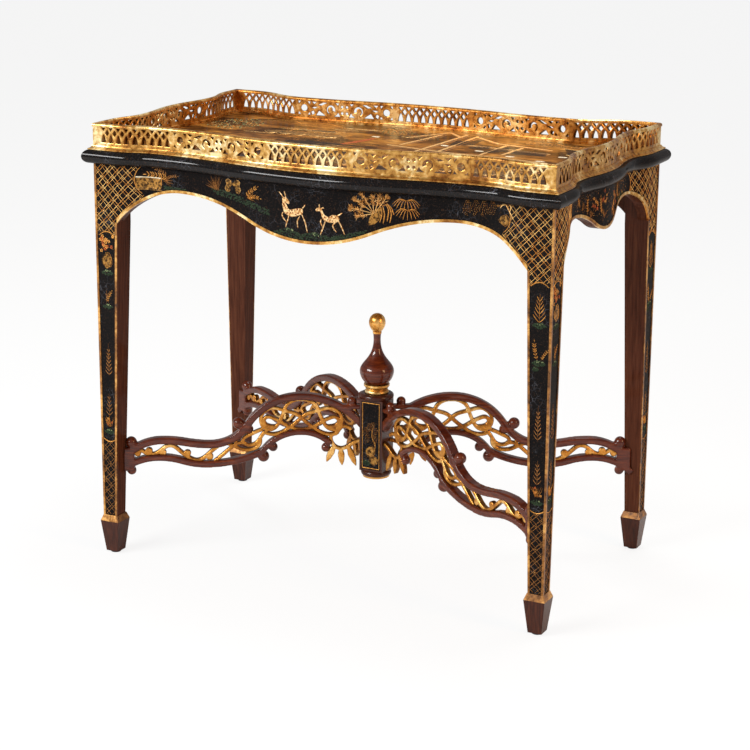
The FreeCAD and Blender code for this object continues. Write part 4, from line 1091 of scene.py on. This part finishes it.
dice.seed(11)
draw = Painting("landscape_front", side_spots["front"], paints)
garden_wall(draw, -316, -273, 612, 631)
leafy_branch(draw, -259, 632, 40, 168, "gold", 8, -16.0)
leafy_branch(draw, -262, 637, 26, 150, "tan", 6, -20.0)
leafy_branch(draw, -263, 632, 20, 28, "tan", 5, 30.0)
shrub(draw, -268, 628, 17, "tan", -30, 60, 22)
bank(draw, "front", [(-270, 619), (-250, 619), (-228, 617)], 6)
shrub(draw, -166, 624, 24, "tan", 70, 165, 46)
pierced_rock(draw, -135, 624, 25, 20)
leafy_branch(draw, -110, 622, 27, 44, "gold", 6)
leafy_branch(draw, -107, 620, 24, 18, "gold", 6, 34.0)
shrub(draw, -104, 619, 15, "gold", -20, 80, 16)
bank(draw, "front", [(-178, 627), (-146, 624), (-118, 619), (-92, 612), (-66, 606)], 9)
bank(draw, "front", [(-58, 574), (-34, 582), (-10, 575), (14, 580), (40, 575), (66, 583), (96, 590)], 13)
bank(draw, "front", [(-36, 582), (-24, 582)], 4, "pale")
bank(draw, "front", [(10, 579), (20, 579)], 4, "pale")
deer(draw, -36, 584.5, buck)
deer(draw, -36, 588, fawn)
feathery_tree(draw, 107, 616, 31)
garden_rock(draw, 99, 596)
fan_palm(draw, 155, 638, 21, "gold", 10)
fan_palm(draw, 157, 624, 19, "gold", 9)
for place in (250, 263, 276, 289):
    willow(draw, place - 2, 647 + (place - 250) / 20, 24)
for line in ([(323, 627), (316, 636), (309, 645), (306, 647)], [(316, 636), (318, 642), (316, 647)],
             [(309, 645), (303, 644), (299, 639)]):
    draw.curve(line, 2.0, "bright", 0.5)
leafy_branch(draw, 303, 644, 12, 200, "gold", 3)
rock(draw, 307, 615, 19, 15)
draw.finish("apron_lacquer")

# %% Side and back landscapes
for side in ("right", "left"):
    dice.seed(23)
    draw = Painting("landscape_" + side, side_spots[side], paints)
    for place, high, size in ((-88, 626, 20), (-62, 612, 24), (-20, 606, 26), (24, 600, 26), (62, 618, 20)):
        leafy_branch(draw, place, high, size, vary(60, 120), "gold", 5)
        grass(draw, place + 9, high - 6, 14)
    blossoms(draw, -44, 626, 22)
    blossoms(draw, -10, 632, 20)
    blossoms(draw, 40, 622, 20)
    turf(draw, side, 70, 96, 6)
    for _ in range(420):
        u, size = vary(-112, 112), vary(3.5, 7.0)
        z = vary(ground(side, u) + 4, 645)
        draw.dab(u, z, size, dice.choice(("tan", "tan", "gold", "green")), "leaf")
    draw.finish("apron_lacquer")

dice.seed(31)
draw = Painting("landscape_back", side_spots["back"], paints)
turf(draw, "back", -240, 240, 8)
rock(draw, -40, ground("back", -40) + 2, 28, 24)
feathery_tree(draw, -10, 606, 30)
fan_palm(draw, 60, 618, 19)
pierced_rock(draw, 150, ground("back", 150) + 3, 22, 24)
leafy_branch(draw, -120, ground("back", -120) + 4, 26, 70)
leafy_branch(draw, -210, ground("back", -210) + 4, 18, 100)
shrub(draw, 210, ground("back", 210) + 4, 14)
blossoms(draw, -150, 630, 18)
draw.finish("apron_lacquer")

# %% [markdown]
# ## Panels on the legs
# Each leg face has a tall black panel between the trellises. From the top down it holds a spray
# over a green mound, a second smaller one, a dark stretch, a leafy rock, and a last plant on a
# mound. The left leg of each side has flowers and a rock at its top, the right one a plume.

# %% Leg panels
# Each row: the motif, the height whose middle it takes, its step aside from that, its own values.
upper_motifs = {
    -1: ((blossoms, 522, 0, 521, 25, 16), (rock, 493, 0, 481, 18, 25), (mound, 473, 0, 473, 20, 9),
         (leafy_branch, 430, -3, 424, 22, 70, "gold", 5), (leafy_branch, 430, 2, 424, 18, 110, "tan", 4),
         (mound, 418, 0, 418, 18, 8)),
    1: ((plume, 500, 0, 480, 44), (mound, 476, 0, 476, 21, 9),
        (leafy_branch, 430, -3, 425, 27, 108, "gold", 6), (leafy_branch, 430, 3, 425, 19, 64, "gold", 5),
        (mound, 420, 0, 420, 20, 9), (mound, 411, -5, 411, 10, 7))}
lower_motifs = ((plume, 332, 0, 304, 54, "tan", 7, 0.18), (plume, 256, 0, 236, 38, "tan", 5, 0.26),
                (shrub, 232, 0, 218, 20, "gold", 60, 120, 16), (blossoms, 226, 0, 226, 13, 5),
                (mound, 208, 0, 209, 18, 9))
for side in compass:
    draw = Painting("leg_panels_" + side, side_spots[side], paints)
    for way in (-1, 1):
        dice.seed(40 + way)
        for motif, centre_z, off, *values in upper_motifs[way] + lower_motifs:
            motif(draw, way * panel_middle(side, centre_z) + off, *values)
    draw.finish("leg_lacquer")

# %% [markdown]
# ## Gallery
# The gallery is a thin wall cut through with a fret saw and rounded by carving. It is drawn flat:
# a Delaunay filling joins the outlines into its two faces, and short strips round each opening
# make its rounded edge. The flat board is then laid along the side. The rail above it isn't
# pierced, so a ray against the rail finds that line.


# %% Fret openings
fret_low, fret_high, gallery_z, in_rail, rail_z = 681.4, 705.4, 674.6, 709.0, 707.0
fret_mid = (fret_low + fret_high) / 2
fret_thick, rail_proud = 5.0, 1.2
lancet_pitch, eyelet_clear, corner_clear = 13.6, 12.5, 8
lancet = [(-4.3, fret_low), (4.3, fret_low), (3.6, 687), (2.2, 691.5), (0, 695.2), (-2.2, 691.5),
          (-3.6, 687)]
notch = [(-3.9, 705), (0, 699.2), (3.9, 705)]
lozenge = [(0, -5.2), (2.2, -2.6), (3.7, 0), (2.0, 2.6), (0, 5.2), (-2.0, 2.6), (-3.7, 0), (-2.2, -2.6)]
lozenge_z = 697
eyelet_places = {"front": (-237, -87, 87, 237), "right": (-75, 75), "back": (-237, -87, 87, 237),
                 "left": (-75, 75)}


def lancet_run(first, last):
    """Lancets below, notches above them and lozenges between, from one place to another."""
    found = []
    count = int((last - first) / lancet_pitch + 1e-6)
    start = (first + last) / 2 - (count - 1) / 2 * lancet_pitch
    for i in range(count):
        u = start + i * lancet_pitch
        found += [placed(lancet, u, 0), placed(notch, u, 0)]
        if i:
            found.append(placed(lozenge, u - lancet_pitch / 2, lozenge_z))
    return found


def disc(u, z, radius, count):
    """A round outline."""
    return placed(circle(count), u, z, radius, radius)


def volute(u, z, way):
    """A comma that curls round from a thin tail to a round head."""
    outer, inner = [], []
    for i in range(13):
        turn = math.radians(-62 + 262 * i / 12)
        radius = 7.0 - 1.4 * i / 12
        half = 0.6 + 1.9 * (i / 12) ** 1.5
        for line, size in ((outer, radius + half), (inner, radius - half)):
            line.append((u + way * size * math.cos(turn), z + size * math.sin(turn)))
    return outer + inner[::-1]


def scroll(middle):
    """Two volutes either side of a four-petalled flower, with leaves and triangles round them."""
    found = []
    leaves = ([(8, -11.4), (19, -11.4), (14.5, -8.6), (11.6, -4.6)],
              [(9.5, 11.2), (16.5, 11.2), (12.4, 7.2)],
              [(32, 10.8), (39, 10.9), (49, 6.4), (41.5, 5.6)],
              [(35, -11.4), (52.5, -11.4), (47, -3.4), (41, -7)], [(51, 11.2), (60, 11.2), (56, 7.2)],
              [(55.4, -8.6), (59.6, -11.2), (61.4, -5.6), (57.4, -3.8)],
              [(49, 2.6), (55.5, 2.8), (60.5, 1.2), (55, -0.6)])
    for way in (-1, 1):
        found += [disc(middle + way * 4.3, fret_mid + rise * 5.4, 2.3, 8) for rise in (-1, 1)]
        found.append(volute(middle + way * 25, fret_mid - 0.6, way))
        found += [placed(line, middle, fret_mid, way) for line in leaves]
    return found


def eyelet(u):
    """A round hole with a small triangle at each of its corners."""
    triangle = [(6.4, 11.3), (11.4, 11.3), (10.4, 6.6)]
    return [disc(u, fret_mid, 5.7, 20)] + [placed(triangle, u, fret_mid, way, rise)
                                           for way in (-1, 1) for rise in (-1, 1)]


# %% Lay the frets along the sides
def half_length(side):
    """Half the length of a side's gallery, in millimetres."""
    low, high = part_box("gallery_fret_" + side)
    return max(abs(high.dot(compass[side][1])), abs(low.dot(compass[side][1]))) / mm


def grown(outline, by):
    """A closed outline moved outwards; sharp corners are cut short."""
    area = sum(p[0] * q[1] - q[0] * p[1] for p, q in zip(outline, outline[1:] + outline[:1]))
    way = 1 if area > 0 else -1
    moved = []
    for before, here, after in zip(outline[-1:] + outline[:-1], outline, outline[1:] + outline[:1]):
        first = Vector((here[1] - before[1], before[0] - here[0])).normalized()
        second = Vector((after[1] - here[1], here[0] - after[0])).normalized()
        push = (first + second) * way * by / max(0.9, 1 + first.dot(second))
        moved.append((here[0] + push.x, here[1] + push.y))
    return moved


def fret_board(frame_line, openings, thick, rounded):
    """A closed board: two filled faces, and strips down the wall of each opening."""
    half = thick / 2
    bow = [(1.0, half), (0.3, half - 0.3 * rounded), (0.0, half - rounded)]
    bow += [(share, -depth) for share, depth in bow[::-1]]
    points, faces, flat, edges, front, rear, owner, spans = [], [], [], [], [], [], [], []
    for number, outline in enumerate([frame_line] + openings):
        count = len(outline)
        rings = []
        for share, depth in bow if number else (bow[0], bow[-1]):
            line = grown(outline, share * rounded) if number else outline
            rings.append(range(len(points), len(points) + count))
            points += [(*p, depth) for p in line]
        for upper, lower in zip(rings, rings[1:]):
            faces += [(upper[i], upper[(i + 1) % count], lower[(i + 1) % count], lower[i])
                      for i in range(count)]
        edges += [(len(flat) + i, len(flat) + (i + 1) % count) for i in range(count)]
        owner += [number] * count
        spans.append(range(len(flat), len(flat) + count))
        flat += [Vector(points[i][:2]) for i in rings[0]]
        front += rings[0]
        rear += rings[-1]
    found, _, triangles, sources, _, _ = delaunay_2d_cdt(flat, edges, [], 1, 1e-5)
    for corners in triangles:
        first = [sources[c][0] for c in corners]
        middle = sum((found[c] for c in corners), Vector((0, 0))) / 3
        hole = owner[first[0]]
        same = owner[first[1]] == owner[first[2]] == hole
        if hole and same and inside(middle, [flat[i] for i in spans[hole]]):
            continue
        faces += [tuple(front[c] for c in first), tuple(rear[c] for c in first[::-1])]
    mesh = bpy.data.meshes.new("board")
    mesh.from_pydata(points, [], faces)
    # The walls of the openings get a number near one, which the gilding turns into painted shade.
    set_values(mesh, "recess_shade", [min(1.0, (half - abs(p[2])) / rounded) for p in points])
    return mesh


weld_gap = 0.00002


def welded(mesh):
    """Merges doubled points and turns every face outwards."""
    work = bmesh.new()
    work.from_mesh(mesh)
    bmesh.ops.remove_doubles(work, verts=work.verts, dist=weld_gap)
    bmesh.ops.recalc_face_normals(work, faces=work.faces)
    work.to_mesh(mesh)
    work.free()
    return mesh


for side, (outward, along) in compass.items():
    reach = half_length(side)
    places = eyelet_places[side]
    openings = []
    for place in places:
        openings += eyelet(place)
    for a, b in zip(places[::2], places[1::2]):
        openings += scroll((a + b) / 2)
    if len(places) == 4:
        openings += lancet_run(places[1] + eyelet_clear, places[2] - eyelet_clear)
    openings += lancet_run(-reach + corner_clear, places[0] - eyelet_clear)
    openings += lancet_run(places[-1] + eyelet_clear, reach - corner_clear)
    there, again = range(int(-reach) + 6, int(reach), 12), range(int(reach) - 6, int(-reach), -12)
    frame_line = [(-reach, gallery_z), *((u, gallery_z) for u in there), (reach, gallery_z),
                  (reach, in_rail), *((u, in_rail) for u in again), (-reach, in_rail)]
    board = fret_board(frame_line, openings, fret_thick, 1.0)
    tree = ray_tree(["gallery_rail_" + side])
    line_of = looking_along(outward, along, up, tree)
    for vertex in board.vertices:
        s, z, depth = vertex.co
        inward = fret_thick / 2 - depth
        u = s * (reach - inward) / reach
        here = line_of(max(-reach + 0.1, min(reach - 0.1, u)), rail_z, 0)
        ahead = line_of(min(reach - 0.1, u + 0.5), rail_z, 0)
        behind = line_of(max(-reach + 0.1, u - 0.5), rail_z, 0)
        run = (ahead - behind).normalized()
        normal = run.cross(up) if run.cross(up).dot(outward) > 0 else -run.cross(up)
        vertex.co = here - normal * ((rail_proud + inward) * mm)
        vertex.co.z = z * mm
    add_piece("gallery_" + side, clad(welded(board), gallery_gold), "gallery_gilt", "gallery_fret_" + side)

# %% [markdown]
# ## Carved stretcher
# The arms and their tracery are carved wood, so no edge is sharp. The CAD model gives their true
# layout as flat boards. A copy is merged, remeshed into even small cells and relaxed, which rounds
# the rails and the straps as a carver's scraper and gesso do.


# %% Round the arms and the tracery
def carved(name, cell, passes, swell):
    """A rounded copy of a CAD node, as full as before the edges were rubbed down."""
    source = nodes[name].data.copy()
    source.materials.clear()
    welded(source)
    worked = new_object(name + "_work", source)
    remesh = worked.modifiers.new("cells", "REMESH")
    remesh.mode = "VOXEL"
    remesh.voxel_size = cell * mm
    relax = worked.modifiers.new("relax", "SMOOTH")
    relax.factor = 0.5
    relax.iterations = passes
    fill = worked.modifiers.new("fill", "DISPLACE")
    fill.mid_level = 0.0
    fill.strength = swell * mm
    mesh = bpy.data.meshes.new_from_object(worked.evaluated_get(bpy.context.evaluated_depsgraph_get()))
    bpy.data.objects.remove(worked)
    mesh.shade_smooth()
    low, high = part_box(name)
    run = Vector(((low + high).x, (low + high).y, 0)).normalized()
    across = run.cross(up)
    # Faces that don't look across the arm get a number near one, which the gilding turns into painted
    # shade.
    set_values(mesh, "recess_shade", [max(0.0, 1.0 - 1.25 * abs(v.normal.dot(across))) for v in mesh.vertices])
    return mesh


carvings = (("arm", 1.3, 14, 0.35, rail_mahogany, "arm_mahogany"),
            ("tracery", 0.9, 8, 0.7, tracery_gold, "tracery_gilt"))
for corner in ("front_left", "front_right", "back_left", "back_right"):
    for kind, cell, passes, swell, finish, slot in carvings:
        node = f"stretcher_{kind}_{corner}"
        add_piece(f"{kind}_{corner}", clad(carved(node, cell, passes, swell), finish), slot, node)

# %% [markdown]
# ## Painting on the tray
# The tray top carries a gold landscape with pavilions on a brown ground, seen at a low angle. The
# roofs and terraces are long gold lines with dark fields between them, and pale foliage fills the
# left end. Places are X and Y in millimetres, and the scene is of this lesson's own invention.


# %% Tray ground
tray = Finish("aged gold-brown lacquer on the tray")
broad = tray.noise(1.0, 5.0, tray.stretched((9.0, 26.0, 1.0)), 0.5)
fine = tray.noise(1.0, 3.0, tray.stretched((50.0, 240.0, 1.0)))
tray_colour = tray.ramp(tray.mean(0.4, broad, fine), (0.38, "#170d08"), (0.47, "#422610"),
                        (0.56, "#7c4e20"), (0.66, "#b47c36"))
tray_ground = tray.shine({"Base Color": tray_colour, "Roughness": 0.3, "IOR": 1.05, "Coat Weight": 0.1,
                          "Coat Roughness": 0.12})
clad(nodes["tray_board"].data, tray_ground)
tray_spot = looking_along(up, x_way, y_way, ray_tree(["tray_board"]))


# %% Tray landscape
def terrace(draw, lines, width, paint):
    """Straight painted lines, each from one place to the next."""
    for line in lines:
        path = []
        for a, b in zip(line, line[1:]):
            path += [(a[0] + (b[0] - a[0]) * i / 6, a[1] + (b[1] - a[1]) * i / 6) for i in range(6)]
        draw.stroke(path + [line[-1]], width, paint, 0.3, 0.8)


def leaf_bed(draw, u, v, across, deep, count, shades, size):
    """Loose leaves that all lean one way, as a tree's crown is painted."""
    for _ in range(count):
        turn, far = vary(0, 2 * math.pi), math.sqrt(dice.random())
        draw.dab(u + across / 2 * far * math.cos(turn), v + deep / 2 * far * math.sin(turn),
                 size * vary(0.8, 1.2), dice.choice(shades), "leaf", lean=1.1, spread=0.8, variation=0.3)


def pavilion(draw, u, v, size):
    """A garden house: a dark roof with lifted eaves, four pillars and a floor."""
    def at(*points):
        return placed(points, u, v, size, size)

    roof = at((-1.1, 0.12), (-0.8, 0.1), (-0.55, 0.5), (0.55, 0.5), (0.8, 0.1), (1.1, 0.12), (0.7, -0.04),
              (-0.7, -0.04))
    draw.patch(roof, "ink", 0.2, 1.5)
    draw.stroke(smooth([roof[0], roof[7], roof[6], roof[5]], 4.0), 2.4, "bright", 0.35, 0.5)
    draw.stroke(smooth(roof[1:5], 4.0), 2.0, "gold", 0.35, 0.7)
    for k in (-0.4, -0.13, 0.13, 0.4):
        draw.stroke(at((k, 0.46), (k * 1.3, 0)), 1.1, "gold", 0.3, 0.6)
    for k in (-0.6, -0.22, 0.22, 0.6):
        draw.stroke(at((k, -0.04), (k, -0.55)), 2.0, "bright", 0.3, 0.9)
    for drop in (-0.36, -0.55, -0.66):
        draw.stroke(at((-0.75, drop), (0, drop), (0.75, drop)), 1.6, "gold", 0.3, 0.7)


def island(draw, u, v, across, deep):
    """Washed ground with bright folds on its near shore, moss on it and water lines round it."""
    draw.patch(ring(u, v, across, deep, 22, 0.1), "wash", 0.2, 3.0)
    for k in range(5):
        left = k / 5 - 0.5
        shore = placed([(left, -0.2), (left + 0.1, -0.52), (left + 0.2, -0.25)], u, v, across * 0.9, deep)
        draw.stroke(smooth(shore, 3.0), 2.0, "bright", 0.4, 0.3)
        draw.stroke(smooth(placed(shore, 0, -7 - 3 * (k % 2)), 3.0), 1.4, "gold", 0.3, 0.2)
    count = round(across * 0.6)
    leaf_bed(draw, u, v + deep * 0.2, across * 0.8, deep * 0.5, count, ["green", "tan", "gold"], 6.0)


def garden_tree(draw, u, v, size, shades):
    """A leaning trunk with three leafy crowns."""
    trunk = placed([(0, 0), (0.12, 0.5), (-0.05, 1.0)], u, v, size, size)
    draw.stroke(smooth(trunk, 3.0), 3.2, "gold", 0.4, 0.5)
    for a, b, wide in ((-0.45, 0.75, 0.8), (0.4, 0.85, 0.7), (0.0, 1.15, 0.9)):
        draw.stroke([(u, v + size * 0.5), (u + a * size * 0.8, v + b * size)], 1.8, "gold", 0.35, 0.4)
        leaf_bed(draw, u + a * size, v + b * size, wide * size, 0.36 * size, 46, shades, 7.0)


dice.seed(3)
draw = Painting("tray_landscape", tray_spot, paints)
for place in ((-235, -98, 190, 44), (-20, -140, 210, 46), (245, -118, 190, 50), (-170, 62, 150, 34)):
    island(draw, *place)
for hill in ([(-300, 150), (-250, 172), (-215, 150), (-180, 168), (-130, 140)],
             [(-60, 165), (-20, 178), (10, 160)],
             [(190, 150), (230, 168), (262, 150), (300, 160), (340, 140)]):
    draw.stroke(smooth(hill, 5.0), 3.0, "gold", 0.35, 0.4)
    draw.stroke(smooth(placed(hill, 4, -9), 5.0), 2.2, "tan", 0.3, 0.3)
for field in ([(79, 117), (117, 139), (123, 88), (88, 69)], [(158, 52), (180, 108), (196, 62), (168, 30)],
              [(122, 79), (155, 98), (160, 66), (127, 56)], [(198, 82), (256, 80), (264, 46), (206, 42)],
              [(-180, -14), (-128, 4), (-70, 4), (-50, -8), (-120, -34)],
              [(262, 130), (330, 110), (330, 60), (286, 78)]):
    draw.patch(field, "ink", 0.2, 3.0)
terrace(draw, [[(-4, 107), (39, 187)], [(18, 40), (36, 160)], [(66, -6), (73, 178)], [(98, 14), (94, 172)],
               [(94, 168), (152, 123), (252, 104)], [(168, 14), (170, 110)], [(198, 30), (202, 104)],
               [(112, 88), (262, 70)], [(0, 30), (110, 8), (201, 4), (290, -8)], [(40, 186), (74, 150)],
               [(262, 130), (330, 110)], [(286, 78), (336, 58)]], 8.5, "bright")
terrace(draw, [[(4, 104), (47, 184)], [(26, 40), (44, 158)], [(74, -6), (81, 176)], [(106, 14), (102, 170)],
               [(98, 160), (154, 115), (250, 97)], [(112, 80), (262, 62)], [(10, 20), (110, 0), (200, -6)]],
        6.0, "tan")
for place in ((-50, 90), (83, 66), (153, 45), (215, 21), (272, 4), (289, 54)):
    draw.patch(ring(*place, 17, 9, 10, 0.1), "cream", 0.35, 2.0)
draw.stroke(smooth([(-66, -4), (-54, 34), (-44, 74)], 6.0), 17.0, "coral", 0.3, 0.5)
for bed in ((-318, 92, 90, 110, 420, ["pale", "pale", "tan", "gold", "green"], 12.0),
            (-52, 156, 80, 60, 200, ["pale", "green", "tan", "gold"], 11.0),
            (20, 120, 60, 60, 110, ["green", "pale", "tan"], 10.0),
            (-120, 8, 120, 40, 110, ["green", "ink", "tan"], 10.0),
            (240, 150, 120, 40, 140, ["tan", "green", "ink", "gold"], 10.0),
            (60, -110, 560, 120, 700, ["tan", "gold", "ink", "green", "pale"], 12.0)):
    leaf_bed(draw, *bed)
for _ in range(60):
    a, b = vary(-300, 0), vary(-150, 150)
    ripple = [(a, b), (a + 18, b + vary(-3, 3)), (a + vary(30, 60), b + vary(-5, 5))]
    draw.stroke(smooth(ripple, 6.0), 2.6, dice.choice(["gold", "tan", "bright"]), 0.3, 0.2)
for place in ((-250, -62, 44), (-40, -102, 40), (258, -76, 46), (-150, 92, 30)):
    pavilion(draw, *place)
for place in ((-185, -88, 46), (40, -130, 48), (-95, -128, 40), (190, -108, 44), (322, -100, 40),
              (-205, 66, 34)):
    garden_tree(draw, *place, ["pale", "green", "gold", "tan"])
draw.finish("tray_lacquer")

# %% Panels on the post
panel_margin = 2.2
for name in ("front", "back"):
    dice.seed(9)
    low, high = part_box("post_panels")
    low_z, high_z, wide = low.z / mm, high.z / mm, high.x / mm
    spot = looking_along(*compass[name], up, ray_tree(["post_panels"]))
    draw = Painting("post_panel_" + name, spot, paints)
    tall = high_z - low_z - 2 * panel_margin
    for a, b, c, d in ((-1, 0, -1, 1), (1, 0, 1, 1), (-1, 0, 1, 0), (-1, 1, 1, 1)):
        edge = [(a + (c - a) * i / 8, b + (d - b) * i / 8) for i in range(9)]
        draw.stroke(placed(edge, 0, low_z + panel_margin, wide - panel_margin, tall), 1.5, "gold", 0.4, 1.0)
    draw.curve([(6, low_z + 30), (8, low_z + 44), (2, low_z + 58), (5, low_z + 76)], 1.6, "gold", 0.45, 0.5)
    for u, z in ((-8, 72), (-2, 80), (4, 82), (9, 74), (-5, 60), (8, 60)):
        willow(draw, u, low_z + z, 17, "tan")
    rock(draw, 0, low_z + 22, 19, 18, "tan")
    rock(draw, 5, low_z + 9, 17, 16, "tan")
    mound(draw, -7, low_z + 11, 14, 10)
    draw.finish("panel_lacquer")

# %% Remove the shapes
for shape in shapes.values():
    bpy.data.objects.remove(shape)
